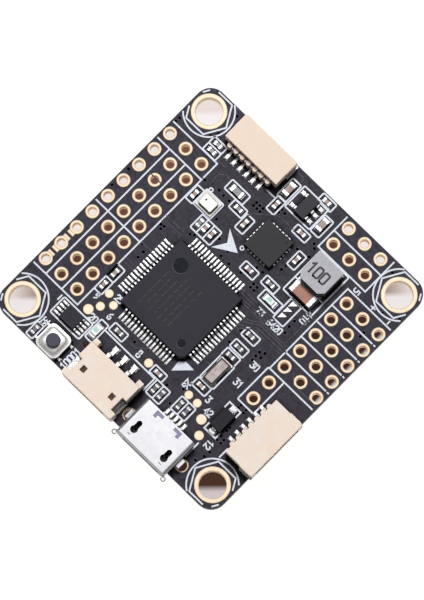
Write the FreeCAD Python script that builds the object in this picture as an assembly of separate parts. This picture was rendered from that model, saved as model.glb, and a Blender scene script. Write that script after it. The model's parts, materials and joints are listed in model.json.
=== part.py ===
import FreeCAD, Part
import os

from FreeCAD import Vector

# A square flight controller board. Millimetres. The component side faces +Z, +Y is forward,
# and the origin is the centre of the four mounting holes, on the plane the underside lands rest on.

# Board layers, from the underside up.
BOARD_X = 35.8
BOARD_Y = 35.3
CORNER_R = 2.0
COPPER_T = 0.05
LAMINATE_T = 1.5
MASK_T = 0.03
MASK_GAP = 0.04
TOP_COPPER_Z = COPPER_T + LAMINATE_T
SURFACE = TOP_COPPER_Z + COPPER_T

# Mounting holes, header holes and the other holes through the board.
MOUNT_PITCH = 30.5
MOUNT_HOLE_R = 1.6
MOUNT_LAND_R = 2.1
PLATING_T = 0.05
PIN_PITCH = 2.54
PIN_HOLE_R = 0.5
PIN_LAND_R = 0.8
REAR_HEADER = (-10.27, -16.68, 9, 3)
FRONT_HEADER = (-10.33, 11.64, 5, 3)
FRONT_PAIR = (2.37, 11.64, 2, 1)
SIDE_HEADER = (-16.72, 5.76, 2, 3)
STAKE_HOLE_R = 0.68
STAKE_LAND_R = 0.82
STAKE_HOLES = ((16.15, 11.15), (16.15, 2.85))
PLAIN_HOLES = ((13.9, -6.4, 0.4), (3.35, 13.75, 0.3))

# Bare copper pads.
TEST_PADS = (
    (12.3, 10.2, 0.55),
    (10.8, 9.1, 0.6),
    (9.8, 7.45, 0.5),
    (9.8, 6.1, 0.5),
    (10.4, 0.25, 0.52),
    (8.48, -7.3, 0.5),
    (7.85, -8.6, 0.5),
    (9.6, -8.3, 0.52),
    (10.8, -9.05, 0.6),
)
BRIDGE_TAB_X = (5.85, 6.65, 8.39, 9.2)
BRIDGE_TAB_SIZE = (0.5, 0.9)
JUMPER_X = (-5.8, -4.93, -4.06)
JUMPER_Y = 7.45
JUMPER_SIZE = 0.76

# Chip capacitors and resistors: body size, end band, and the pair of lands below.
COAT = 0.02
CAP_SMALL = {
    "long": 1.0, "wide": 0.5, "high": 0.5, "band": 0.26,
    "land": 0.36, "land_wide": 0.54, "pitch": 0.88,
}
CAP_MEDIUM = {
    "long": 1.6, "wide": 0.8, "high": 0.8, "band": 0.35,
    "land": 0.5, "land_wide": 0.84, "pitch": 1.4,
}
CAP_LARGE = {
    "long": 3.2, "wide": 1.4, "high": 1.35, "band": 0.5,
    "land": 0.72, "land_wide": 1.45, "pitch": 2.72,
}
RES_SMALL = {
    "long": 1.0, "wide": 0.5, "high": 0.35, "band": 0.24,
    "land": 0.36, "land_wide": 0.54, "pitch": 0.88,
}
RES_MEDIUM = {
    "long": 1.6, "wide": 0.8, "high": 0.45, "band": 0.32,
    "land": 0.5, "land_wide": 0.84, "pitch": 1.4,
}
CAPACITORS = (
    (-5.25, -4.95, "x", CAP_SMALL),
    (-5.25, -6.0, "x", CAP_SMALL),
    (-7.2, -9.65, "x", CAP_SMALL),
    (-8.75, -3.15, "x", CAP_SMALL),
    (-9.9, 4.05, "x", CAP_SMALL),
    (-12.5, 2.3, "y", CAP_SMALL),
    (-17.15, 1.85, "y", CAP_SMALL),
    (-12.85, -2.1, "x", CAP_SMALL),
    (-5.3, 0.95, "y", CAP_SMALL),
    (8.1, 6.4, "y", CAP_SMALL),
    (10.5, 1.9, "y", CAP_SMALL),
    (5.7, -9.75, "x", CAP_SMALL),
    (7.6, -9.75, "x", CAP_SMALL),
    (-14.85, 3.35, "x", CAP_MEDIUM),
    (-15.15, -2.25, "x", CAP_MEDIUM),
)
POWER_CAPACITOR = (-7.55, 7.4, "y", CAP_LARGE)
RESISTORS = (
    (-5.25, -6.9, "x", RES_SMALL),
    (-9.5, -4.85, "y", RES_SMALL),
    (-5.8, 3.85, "y", RES_SMALL),
    (0.05, 6.4, "y", RES_SMALL),
    (1.95, 6.4, "y", RES_SMALL),
    (3.3, 6.4, "y", RES_SMALL),
    (11.35, 7.25, "x", RES_SMALL),
    (11.35, 6.2, "x", RES_SMALL),
    (12.0, 3.85, "x", RES_SMALL),
    (12.0, 2.85, "x", RES_SMALL),
    (10.25, -4.65, "y", RES_SMALL),
    (16.75, -11.75, "x", RES_SMALL),
    (-13.15, -11.75, "y", RES_SMALL),
    (-12.15, -11.75, "y", RES_SMALL),
    (-10.8, -6.35, "y", RES_MEDIUM),
)
LED = {
    "long": 1.6, "wide": 0.8, "high": 0.3, "band": 0.3,
    "land": 0.5, "land_wide": 0.84, "pitch": 1.4,
}
LED_LENS_LONG = 1.06
LED_LENS_HIGH = 0.35
LED_LENS_DRAFT = 0.05
LEDS = ((-4.4, 5.2, "y", LED), (12.0, -6.6, "x", LED))

# Processor: a square package with leads on all four sides.
PROCESSOR_AT = (2.7, -2.05)
PROCESSOR_SIZE = 10.0
PROCESSOR_HIGH = 1.4
PROCESSOR_DRAFT = 0.12
PROCESSOR_CUT = 0.55
PROCESSOR_LIFT = 0.1
PROCESSOR_SPAN = 12.0
PROCESSOR_PITCH = 0.5
PROCESSOR_PER_SIDE = 16
PROCESSOR_LEAD_W = 0.22
PIN_ONE_DIMPLE = (3.55, 3.55, 0.5)
EJECTOR_DIMPLE = (-2.8, -2.8, 0.9)
DIMPLE_DEEP = 0.06
LEAD_T = 0.13
FOOT_LONG = 0.5
LAND_HEEL = 0.15
LAND_TOE = 0.45
PROCESSOR_LAND_W = 0.3

# Motion sensor: a leadless package with pads let into its lower edges.
MOTION_AT = (-9.0, 0.47)
MOTION_SIZE = 4.0
MOTION_HIGH = 0.9
MOTION_PITCH = 0.5
MOTION_PER_SIDE = 6
MOTION_PAD = (0.4, 0.26, 0.2)
MOTION_PADDLE = 2.6
MOTION_LAND_W = 0.26
MOTION_LAND_TOE = 0.18
MOTION_DIMPLE = (-1.45, 1.45, 0.2)

# Pressure sensor: a base, a hollow metal lid with a vent, and the sensing die inside.
PRESSURE_AT = (-7.5, -7.75)
PRESSURE_SIZE = (2.05, 2.45)
PRESSURE_BASE_HIGH = 0.3
PRESSURE_HIGH = 0.95
PRESSURE_LID = (1.45, 1.9)
PRESSURE_LID_CORNER = 0.2
PRESSURE_LID_ROUND = 0.06
PRESSURE_WALL = 0.1
PRESSURE_VENT = (-0.1, -0.42, 0.12)
PRESSURE_DIE = (1.0, 1.0, 0.3)
PRESSURE_LAND = (0.5, 0.4)
PRESSURE_LAND_AT = (0.72, 0.8)

# Eight-lead memory chip, five-lead regulator and the diode.
MEMORY_AT = (12.85, -9.7)
MEMORY_SIZE = (2.0, 2.3, 0.8)
MEMORY_SPAN = 3.3
MEMORY_PITCH = 0.5
MEMORY_PER_SIDE = 4
MEMORY_LEAD_W = 0.22
MEMORY_FOOT = 0.25
MEMORY_LAND = (1.2, 2.1, 0.3)
MEMORY_DIMPLE = (-0.6, -0.7, 0.15)
REGULATOR_AT = (-15.1, 0.6)
REGULATOR_SIZE = (2.9, 1.6, 1.1)
REGULATOR_SPAN = 2.8
REGULATOR_FRONT_X = (-0.95, 0.0, 0.95)
REGULATOR_REAR_X = (-0.95, 0.95)
REGULATOR_LEAD_W = 0.4
REGULATOR_LAND = (0.95, 1.7, 0.5)
DIODE_AT = (9.2, 10.95)
DIODE_SIZE = (2.7, 1.6, 1.1)
DIODE_SPAN = 3.7
DIODE_LEAD_W = 0.6
DIODE_LAND = (1.4, 2.1, 0.9)
POWER_LEAD_FOOT = 0.3
PACKAGE_DRAFT = 0.08
PACKAGE_LIFT = 0.06

# Crystal: a ceramic base with a seam-welded metal lid.
CRYSTAL_AT = (5.7, 6.55)
CRYSTAL_SIZE = (3.2, 1.5)
CRYSTAL_BASE_HIGH = 0.5
CRYSTAL_LID = (2.9, 1.2, 0.25)
CRYSTAL_LID_CHAMFER = 0.08
CRYSTAL_LAND = (0.9, 1.7)
CRYSTAL_LAND_PITCH = 2.6

# Power inductor: a ferrite drum, its winding, and the resin between the flanges.
INDUCTOR_AT = (-10.4, 7.37)
INDUCTOR_SIZE = 3.8
INDUCTOR_HIGH = 2.9
INDUCTOR_CUT = 0.6
INDUCTOR_FLANGE = 0.65
INDUCTOR_POST_R = 0.95
INDUCTOR_WINDING_R = 1.65
INDUCTOR_RESIN_INSET = 0.12
INDUCTOR_PLATE = (0.9, 3.3, 0.05)
INDUCTOR_PLATE_PITCH = 2.6
INDUCTOR_LAND = (1.0, 3.5)

# Two six-way 1.0 mm sockets, built with the rear face on y = 0 and the mouth towards +Y.
SOCKET_PITCH = 1.0
SOCKET_WAYS = 6
SOCKET_MOUTH = (6.9, 0.6, 1.75)
SOCKET_BACK = 1.0
SOCKET_RIB_R = 0.3
SOCKET_ROUND = 0.08
SOCKET_RECESS = (0.35, 1.9, 1.5)
SOCKET_PIN_SET_BACK = 0.7
SOCKET_PIN_Z = 1.45
SOCKET_PIN_T = 0.2
SOCKET_PIN_W = 0.3
SOCKET_TAIL = 0.25
SOCKET_LAND_W = 0.5
SOCKET_TAB_T = 0.2
SOCKET_TAB_FEET = (0.12, 0.12)
TAB_LAND = (1.1, 1.3, 0.05)
SIDE_SOCKET = {
    "at": (-14.2, -7.53, 90.0), "size": (8.2, 3.55, 2.9),
    "rib": (0.6, 2.0), "foot": 1.45, "corner": 0.15, "shoulder": 0.04,
}
FRONT_SOCKET = {
    "at": (7.54, 13.85, 0.0), "size": (8.42, 4.15, 2.9),
    "rib": (0.34, 2.85), "foot": 0.92, "corner": 0.35, "shoulder": 0.1,
}

# The three-way 1.5 mm socket, built the same way round.
POWER_PITCH = 1.5
POWER_WAYS = 3
POWER_SIZE = (7.6, 4.95, 3.4)
POWER_MOUTH = (5.7, 3.9, 0.7, 2.0)
POWER_WING = (0.75, 0.7, 2.8)
POWER_WINDOW = (0.65, 0.75, 2.25, 2.92)
POWER_ROUND = 0.3
POWER_LIP = (7.9, 0.9)
POWER_RECESS = (0.6, 1.9, 3.4)
POWER_RECESS_Y = 2.15
POWER_TAB_HIGH = 1.0
POWER_PIN_TIP = 4.0
POWER_PIN_Z = 1.6
POWER_PIN_T = 0.3
POWER_PIN_W = 0.45
POWER_TAIL = 0.3
POWER_FOOT = 1.6
POWER_TAB_T = 0.25
POWER_TAB_FEET = (0.0, 0.3)
POWER_LAND_W = 0.8
POWER_SOCKET_AT = (13.35, -1.95, -90.0)

# USB micro receptacle, built the same way round: a folded shell, wide side up.
USB_AT = (13.45, 7.0, -90.0)
USB_WIDE = 7.5
USB_NARROW = 5.9
USB_LONG = 4.95
USB_BOTTOM = 0.05
USB_BEND = 1.25
USB_TOP = 2.55
USB_WALL = 0.25
USB_ROUND = 0.4
USB_FLARE = 0.3
USB_FLARE_OUT = 0.15
USB_CORNER_CUT = 0.6
USB_WINDOW_X = 2.37
USB_WINDOW_HEAD = (2.75, 0.33)
USB_WINDOW_BALL = (3.65, 0.45)
USB_WINDOW_NECK = 0.64
USB_TICK = (0.4, 0.08, 4.4)
USB_TICK_X = 2.45
USB_SLOT_X = 1.4
USB_SLOT = (1.1, 0.4, 0.42)
USB_SLOT_LEG = (0.42, 0.62)
USB_PRESSED = 0.1
USB_STAKE = (4.15, 2.7, 1.1)
USB_STAKE_TOP = 1.3
USB_STAKE_DEPTH = 1.3
USB_PLUG_LONG = 1.1
USB_TONGUE = (3.8, 3.7, 0.6)
USB_TONGUE_Z = 1.5
USB_CONTACTS = 5
USB_CONTACT_PITCH = 0.65
USB_CONTACT_W = 0.3
USB_LAND_W = 0.42
USB_CONTACT_T = 0.12
USB_CONTACT_TIP = 3.4
USB_CONTACT_TAIL = 0.15
USB_CONTACT_FOOT = 0.85

# Push button: base, contact frames, snap dome, plunger and metal cover.
BUTTON_AT = (16.25, -9.2)
BUTTON_BASE = (3.1, 3.1, 1.0)
BUTTON_WELL_R = 1.25
BUTTON_FLOOR = 0.35
BUTTON_FRAME_X = 1.0
BUTTON_FRAME_W = 0.28
BUTTON_FRAME_T = 0.15
BUTTON_FOOT_Y = 2.0
BUTTON_LAND = (0.36, 0.42)
BUTTON_CENTRE_R = 0.4
BUTTON_DOME_R = 1.05
BUTTON_DOME_HIGH = 0.3
BUTTON_DOME_T = 0.06
BUTTON_COVER = (3.3, 3.3, 0.12)
BUTTON_COVER_CUT = 0.45
BUTTON_RAISED = 2.3
BUTTON_RAISED_TOP = 1.45
BUTTON_SKIRT = (2.0, 0.6)
BUTTON_PLUNGER_R = 0.82
BUTTON_CLEARANCE = 0.04
BUTTON_FLANGE_R = 0.95
BUTTON_FLANGE_T = 0.2
BUTTON_NUB_R = 0.35
BUTTON_TOP = 2.0
BUTTON_ROUND = 0.08

Z_AXIS = Vector(0, 0, 1)


# ---- Plain shapes ---------------------------------------------------------------------------------


def block(x, y, z, size_x, size_y, size_z):
    """A box centred on x, y and standing on z."""
    return Part.makeBox(size_x, size_y, size_z, Vector(x - size_x / 2, y - size_y / 2, z))


def rod(x, y, z, radius, height):
    """An upright cylinder standing on z."""
    return Part.makeCylinder(radius, height, Vector(x, y, z))


def loop(points):
    """A closed wire through the points."""
    return Part.makePolygon(list(points) + [points[0]])


def prism(points, direction):
    """The polygon through the points, pushed along the direction."""
    return Part.Face(loop(points)).extrude(direction)


def cut_square(x, y, z, size_x, size_y, cut, corners):
    """Corner points of a rectangle; the corners named by their signs are cut off."""
    points = []
    for sign_x, sign_y in ((-1, -1), (1, -1), (1, 1), (-1, 1)):
        corner = Vector(x + sign_x * size_x / 2, y + sign_y * size_y / 2, z)
        if (sign_x, sign_y) not in corners:
            points.append(corner)
            continue
        along_x = corner + Vector(-sign_x * cut, 0, 0)
        along_y = corner + Vector(0, -sign_y * cut, 0)
        points += [along_y, along_x] if sign_x * sign_y > 0 else [along_x, along_y]
    return points


def drafted(x, y, z, size, draft, cut=0.0, corners=()):
    """A moulded package: widest at its mid height, drawn in by the draft above and below."""
    size_x, size_y, high = size
    middle = loop(cut_square(x, y, z + high / 2, size_x, size_y, cut, corners))
    ends = [
        loop(cut_square(x, y, level, size_x - 2 * draft, size_y - 2 * draft, cut, corners))
        for level in (z, z + high)
    ]
    halves = [Part.makeLoft([end, middle], True, True) for end in ends]
    return halves[0].fuse(halves[1]).removeSplitter()


def placed(shape, place):
    """The shape turned about Z by the third value of the place and moved to its x, y."""
    x, y, angle = place
    return shape.rotated(Vector(), Z_AXIS, angle).translated(Vector(x, y, 0))


def spread(count, pitch):
    """Evenly spaced offsets, centred on zero."""
    return [(index - (count - 1) / 2) * pitch for index in range(count)]


def side_profile(points, x, width):
    """A solid of the given width around x, from y, z points on its side face."""
    face = [Vector(x - width / 2, y, SURFACE + z) for y, z in points]
    return prism(face, Vector(width, 0, 0))


# ---- Holes and lands ------------------------------------------------------------------------------


def grid(header):
    """Hole centres of a header given as first x, first y, columns and rows."""
    first_x, first_y, columns, rows = header
    return [
        (first_x + column * PIN_PITCH, first_y + row * PIN_PITCH)
        for row in range(rows)
        for column in range(columns)
    ]


def mounting_holes():
    """Centres of the four mounting holes."""
    half = MOUNT_PITCH / 2
    return [(-half, -half), (half, -half), (half, half), (-half, half)]


def header_holes():
    """Centres of every header hole."""
    return grid(REAR_HEADER) + grid(FRONT_HEADER) + grid(FRONT_PAIR) + grid(SIDE_HEADER)


def plated_hole(x, y, hole_r, land_r):
    """A copper barrel through the board with a land at each end."""
    barrel = rod(x, y, 0, hole_r + PLATING_T, SURFACE)
    lower = rod(x, y, 0, land_r, COPPER_T)
    upper = rod(x, y, TOP_COPPER_Z, land_r, COPPER_T)
    return barrel.fuse([lower, upper]).removeSplitter().cut(rod(x, y, 0, hole_r, SURFACE))


def chip_lands(x, y, along, chip):
    """Centres and sizes of the two lands under a two-ended part."""
    step = chip["pitch"] / 2
    if along == "x":
        return [(x + sign * step, y, chip["land"], chip["land_wide"]) for sign in (-1, 1)]
    return [(x, y + sign * step, chip["land_wide"], chip["land"]) for sign in (-1, 1)]


def turned_lands(lands, place):
    """Land rectangles turned by a multiple of a quarter turn and moved."""
    x0, y0, angle = place
    quarter = round(angle / 90.0) % 4
    turned = []
    for x, y, size_x, size_y in lands:
        for _ in range(quarter):
            x, y, size_x, size_y = -y, x, size_y, size_x
        turned.append((x0 + x, y0 + y, size_x, size_y))
    return turned


def row_lands(place, offsets, near, far, width):
    """A row of lands reaching from near to far in +Y, one at each x offset."""
    row = [(offset, (near + far) / 2, width, far - near) for offset in offsets]
    return turned_lands(row, place)


def processor_lands():
    """Sixteen lands on each side of the processor."""
    offsets = spread(PROCESSOR_PER_SIDE, PROCESSOR_PITCH)
    far = PROCESSOR_SPAN / 2 + LAND_TOE
    near = PROCESSOR_SPAN / 2 - FOOT_LONG - LAND_HEEL
    lands = []
    for angle in (0.0, 90.0, 180.0, 270.0):
        lands += row_lands((*PROCESSOR_AT, angle), offsets, near, far, PROCESSOR_LAND_W)
    return lands


def motion_lands():
    """Lands under the motion sensor: six to a side and the middle paddle."""
    offsets = spread(MOTION_PER_SIDE, MOTION_PITCH)
    near = MOTION_SIZE / 2 - MOTION_PAD[0]
    far = MOTION_SIZE / 2 + MOTION_LAND_TOE
    lands = [(*MOTION_AT, MOTION_PADDLE, MOTION_PADDLE)]
    for angle in (0.0, 90.0, 180.0, 270.0):
        lands += row_lands((*MOTION_AT, angle), offsets, near, far, MOTION_LAND_W)
    return lands


def pressure_lands():
    """Two columns of three lands under the pressure sensor."""
    step_x, step_y = PRESSURE_LAND_AT
    x, y = PRESSURE_AT
    return [
        (x + sign * step_x, y + row * step_y, *PRESSURE_LAND)
        for sign in (-1, 1)
        for row in (-1, 0, 1)
    ]


def small_package_lands():
    """Lands of the memory chip, the regulator and the diode."""
    memory = spread(MEMORY_PER_SIDE, MEMORY_PITCH)
    lands = []
    for angle in (0.0, 180.0):
        lands += row_lands((*MEMORY_AT, angle), memory, *MEMORY_LAND)
    lands += row_lands((*REGULATOR_AT, 0.0), REGULATOR_FRONT_X, *REGULATOR_LAND)
    lands += row_lands((*REGULATOR_AT, 180.0), REGULATOR_REAR_X, *REGULATOR_LAND)
    for angle in (90.0, -90.0):
        lands += row_lands((*DIODE_AT, angle), (0.0,), *DIODE_LAND)
    return lands


def crystal_lands():
    """One land under each end of the crystal."""
    x, y = CRYSTAL_AT
    step = CRYSTAL_LAND_PITCH / 2
    return [(x - step, y, *CRYSTAL_LAND), (x + step, y, *CRYSTAL_LAND)]


def inductor_lands():
    """One long land under each side of the inductor."""
    x, y = INDUCTOR_AT
    step = INDUCTOR_PLATE_PITCH / 2
    return [(x - step, y, *INDUCTOR_LAND), (x + step, y, *INDUCTOR_LAND)]


def contact_lands(place, ways, pitch, foot, width):
    """The lands of a row of contact feet behind a socket."""
    return row_lands(place, spread(ways, pitch), -foot - LAND_HEEL, LAND_TOE - foot, width)


def tab_lands(place, size_x, recess_y, feet):
    """One land under each side tab of a socket."""
    wide, long, margin = TAB_LAND
    lands = []
    for sign, foot in zip((-1, 1), feet):
        x = size_x / 2 + foot + margin - wide / 2
        lands.append((sign * x, recess_y + margin + long / 2, wide, long))
    return turned_lands(lands, place)


def socket_lands():
    """Contact and tab lands of the three plug sockets."""
    lands = []
    for socket in (SIDE_SOCKET, FRONT_SOCKET):
        size_x, size_y, _ = socket["size"]
        place = socket["at"]
        lands += contact_lands(place, SOCKET_WAYS, SOCKET_PITCH, socket["foot"], SOCKET_LAND_W)
        lands += tab_lands(place, size_x, size_y - SOCKET_RECESS[1], SOCKET_TAB_FEET)
    lands += contact_lands(POWER_SOCKET_AT, POWER_WAYS, POWER_PITCH, POWER_FOOT, POWER_LAND_W)
    lands += tab_lands(POWER_SOCKET_AT, POWER_SIZE[0], POWER_RECESS_Y, POWER_TAB_FEET)
    return lands


def usb_lands():
    """Five contact lands behind the USB receptacle."""
    offsets = spread(USB_CONTACTS, USB_CONTACT_PITCH)
    return row_lands(USB_AT, offsets, -USB_CONTACT_FOOT - LAND_HEEL, -LAND_HEEL, USB_LAND_W)


def button_lands():
    """A land under each of the four feet of the push button."""
    x, y = BUTTON_AT
    reach = BUTTON_FOOT_Y - LAND_HEEL
    return [
        (x + sign_x * BUTTON_FRAME_X, y + sign_y * reach, *BUTTON_LAND)
        for sign_x in (-1, 1)
        for sign_y in (-1, 1)
    ]


def all_lands():
    """Every rectangular component land as centre and size."""
    lands = []
    for part in CAPACITORS + (POWER_CAPACITOR,) + RESISTORS + LEDS:
        lands += chip_lands(*part)
    lands += processor_lands() + motion_lands() + pressure_lands() + small_package_lands()
    lands += crystal_lands() + inductor_lands() + usb_lands() + button_lands()
    return lands + socket_lands()


def jumper_pads(z, high, grow):
    """Three pointed pads side by side, each a triangle, grown outwards for the mask opening."""
    half = JUMPER_SIZE / 2 + grow
    pads = []
    for x in JUMPER_X:
        corners = [
            Vector(x - half, JUMPER_Y - half, z),
            Vector(x + half, JUMPER_Y - half, z),
            Vector(x - half, JUMPER_Y + half, z),
        ]
        pads.append(prism(corners, Vector(0, 0, high)))
    return pads


def bridge_tabs(z, high, grow):
    """Short solder-bridge tabs between the last header pads of the rear row."""
    size_x, size_y = BRIDGE_TAB_SIZE
    rings = [rod(x, y, z, PIN_LAND_R, high) for x, y in grid(REAR_HEADER)]
    return [
        block(x, REAR_HEADER[1], z, size_x + 2 * grow, size_y + 2 * grow, high).cut(rings)
        for x in BRIDGE_TAB_X
    ]


# ---- Board ----------------------------------------------------------------------------------------


def board_outline(z, high):
    """The rounded board outline as a plain slab."""
    slab = block(0, 0, z, BOARD_X, BOARD_Y, high)
    upright = [e for e in slab.Edges if abs(e.Vertexes[0].Z - e.Vertexes[1].Z) > high / 2]
    return slab.makeFillet(CORNER_R, upright)


def drilled(slab, z, high, grow):
    """The slab with every hole through it, each grown by the amount given."""
    drills = [rod(x, y, z, MOUNT_HOLE_R + grow, high) for x, y in mounting_holes()]
    drills += [rod(x, y, z, PIN_HOLE_R + grow, high) for x, y in header_holes()]
    drills += [rod(x, y, z, STAKE_HOLE_R + grow, high) for x, y in STAKE_HOLES]
    drills += [rod(x, y, z, radius, high) for x, y, radius in PLAIN_HOLES]
    return slab.cut(drills)


def opened(slab, z, high):
    """The mask slab with a clear ring around every plated hole."""
    rings = [rod(x, y, z, MOUNT_LAND_R + MASK_GAP, high) for x, y in mounting_holes()]
    rings += [rod(x, y, z, PIN_LAND_R + MASK_GAP, high) for x, y in header_holes()]
    rings += [rod(x, y, z, STAKE_LAND_R + MASK_GAP, high) for x, y in STAKE_HOLES]
    rings += [rod(x, y, z, radius + MASK_GAP, high) for x, y, radius in PLAIN_HOLES]
    return slab.cut(rings)


def board_laminate():
    return drilled(board_outline(COPPER_T, LAMINATE_T), COPPER_T, LAMINATE_T, PLATING_T)


def solder_mask_top():
    z = TOP_COPPER_Z
    mask = opened(board_outline(z, MASK_T), z, MASK_T)
    windows = [
        block(x, y, z, size_x + 2 * MASK_GAP, size_y + 2 * MASK_GAP, MASK_T)
        for x, y, size_x, size_y in all_lands()
    ]
    windows += [rod(x, y, z, radius + MASK_GAP, MASK_T) for x, y, radius in TEST_PADS]
    windows += jumper_pads(z, MASK_T, MASK_GAP)
    windows += bridge_tabs(z, MASK_T, MASK_GAP)
    return mask.cut(windows)


def solder_mask_bottom():
    z = COPPER_T - MASK_T
    return opened(board_outline(z, MASK_T), z, MASK_T)


def mounting_hole_plating():
    return [plated_hole(x, y, MOUNT_HOLE_R, MOUNT_LAND_R) for x, y in mounting_holes()]


def header_hole_plating():
    return [plated_hole(x, y, PIN_HOLE_R, PIN_LAND_R) for x, y in header_holes()]


def stake_hole_plating():
    return [plated_hole(x, y, STAKE_HOLE_R, STAKE_LAND_R) for x, y in STAKE_HOLES]


def test_pads():
    return [rod(x, y, TOP_COPPER_Z, radius, COPPER_T) for x, y, radius in TEST_PADS]


def component_lands():
    return [
        block(x, y, TOP_COPPER_Z, size_x, size_y, COPPER_T)
        for x, y, size_x, size_y in all_lands()
    ]


# ---- Two-ended chip parts -------------------------------------------------------------------------


def along_axis(x, y, z, along, long, wide, high):
    """A block with its long side on the named axis."""
    if along == "x":
        return block(x, y, z, long, wide, high)
    return block(x, y, z, wide, long, high)


def chip_core(x, y, along, chip):
    """The body of a chip part, a little smaller than its end caps on every side."""
    long, wide, high = (chip[side] - 2 * COAT for side in ("long", "wide", "high"))
    return along_axis(x, y, SURFACE + COAT, along, long, wide, high)


def chip_ends(x, y, along, chip):
    """The two end caps that wrap over the ends of the body."""
    shift = (chip["long"] - chip["band"]) / 2
    ends = []
    for sign in (-1, 1):
        end_x = x + sign * shift if along == "x" else x
        end_y = y if along == "x" else y + sign * shift
        cap = along_axis(end_x, end_y, SURFACE, along, chip["band"], chip["wide"], chip["high"])
        ends.append(cap.cut(chip_core(x, y, along, chip)))
    return ends


def resistor_coat(x, y, along, chip):
    """The dark glass coat between the end caps, on top of the body."""
    long = chip["long"] - 2 * chip["band"]
    wide = chip["wide"] - 2 * COAT
    return along_axis(x, y, SURFACE + chip["high"] - COAT, along, long, wide, COAT)


def capacitor_bodies():
    return [chip_core(*part) for part in CAPACITORS]


def capacitor_terminals():
    return [end for part in CAPACITORS for end in chip_ends(*part)]


def power_capacitor_body():
    return chip_core(*POWER_CAPACITOR)


def power_capacitor_terminals():
    return chip_ends(*POWER_CAPACITOR)


def resistor_bodies():
    return [chip_core(*part) for part in RESISTORS]


def resistor_coats():
    return [resistor_coat(*part) for part in RESISTORS]


def resistor_terminals():
    return [end for part in RESISTORS for end in chip_ends(*part)]


def led_bases():
    between = LED["long"] - 2 * LED["band"]
    return [
        along_axis(x, y, SURFACE, along, between, LED["wide"], LED["high"])
        for x, y, along, _ in LEDS
    ]


def led_terminals():
    shift = (LED["long"] - LED["band"]) / 2
    ends = []
    for x, y, along, _ in LEDS:
        for sign in (-1, 1):
            end_x = x + sign * shift if along == "x" else x
            end_y = y if along == "x" else y + sign * shift
            ends.append(
                along_axis(end_x, end_y, SURFACE, along, LED["band"], LED["wide"], LED["high"])
            )
    return ends


def led_lenses():
    z = SURFACE + LED["high"]
    lenses = []
    for x, y, along, _ in LEDS:
        sizes = (LED_LENS_LONG, LED["wide"]) if along == "x" else (LED["wide"], LED_LENS_LONG)
        foot = loop(cut_square(x, y, z, *sizes, 0, ()))
        inset = [side - 2 * LED_LENS_DRAFT for side in sizes]
        top = loop(cut_square(x, y, z + LED_LENS_HIGH, *inset, 0, ()))
        lenses.append(Part.makeLoft([foot, top], True, True))
    return lenses


# ---- Packages with leads --------------------------------------------------------------------------


def gull_lead(body_edge, toe, exit_z, foot, width):
    """A lead that leaves the body edge, steps down and ends in a flat foot, along +Y."""
    half = LEAD_T / 2
    shoulder = body_edge + (toe - foot - body_edge) / 2
    points = [
        (body_edge, exit_z - half),
        (shoulder - half, exit_z - half),
        (toe - foot, 0),
        (toe, 0),
        (toe, LEAD_T),
        (toe - foot + half, LEAD_T),
        (shoulder, exit_z + half),
        (body_edge, exit_z + half),
    ]
    return side_profile(points, 0, width)


def lead_row(place, offsets, lead):
    """Copies of a lead at each x offset, turned and moved together."""
    return [placed(lead.translated(Vector(offset, 0, 0)), place) for offset in offsets]


def dimple(package, place, spot, top):
    """The package with a shallow round dimple in its top."""
    x, y, radius = spot
    return package.cut(rod(place[0] + x, place[1] + y, top - DIMPLE_DEEP, radius, DIMPLE_DEEP))


def processor_body():
    z = SURFACE + PROCESSOR_LIFT
    size = (PROCESSOR_SIZE, PROCESSOR_SIZE, PROCESSOR_HIGH)
    body = drafted(*PROCESSOR_AT, z, size, PROCESSOR_DRAFT, PROCESSOR_CUT, ((1, 1),))
    for spot in (PIN_ONE_DIMPLE, EJECTOR_DIMPLE):
        body = dimple(body, PROCESSOR_AT, spot, z + PROCESSOR_HIGH)
    return body


def processor_leads():
    exit_z = PROCESSOR_LIFT + PROCESSOR_HIGH / 2
    lead = gull_lead(PROCESSOR_SIZE / 2, PROCESSOR_SPAN / 2, exit_z, FOOT_LONG, PROCESSOR_LEAD_W)
    offsets = spread(PROCESSOR_PER_SIDE, PROCESSOR_PITCH)
    leads = []
    for angle in (0.0, 90.0, 180.0, 270.0):
        leads += lead_row((*PROCESSOR_AT, angle), offsets, lead)
    return leads


def memory_body():
    z = SURFACE + PACKAGE_LIFT
    body = drafted(*MEMORY_AT, z, MEMORY_SIZE, PACKAGE_DRAFT)
    return dimple(body, MEMORY_AT, MEMORY_DIMPLE, z + MEMORY_SIZE[2])


def memory_leads():
    exit_z = PACKAGE_LIFT + MEMORY_SIZE[2] / 2
    lead = gull_lead(MEMORY_SIZE[1] / 2, MEMORY_SPAN / 2, exit_z, MEMORY_FOOT, MEMORY_LEAD_W)
    offsets = spread(MEMORY_PER_SIDE, MEMORY_PITCH)
    front = lead_row((*MEMORY_AT, 0.0), offsets, lead)
    return front + lead_row((*MEMORY_AT, 180.0), offsets, lead)


def regulator_body():
    return drafted(*REGULATOR_AT, SURFACE + PACKAGE_LIFT, REGULATOR_SIZE, PACKAGE_DRAFT)


def regulator_leads():
    exit_z = PACKAGE_LIFT + REGULATOR_SIZE[2] / 2
    lead = gull_lead(
        REGULATOR_SIZE[1] / 2, REGULATOR_SPAN / 2, exit_z, POWER_LEAD_FOOT, REGULATOR_LEAD_W
    )
    front = lead_row((*REGULATOR_AT, 0.0), REGULATOR_FRONT_X, lead)
    return front + lead_row((*REGULATOR_AT, 180.0), REGULATOR_REAR_X, lead)


def diode_body():
    return drafted(*DIODE_AT, SURFACE + PACKAGE_LIFT, DIODE_SIZE, PACKAGE_DRAFT)


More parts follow.
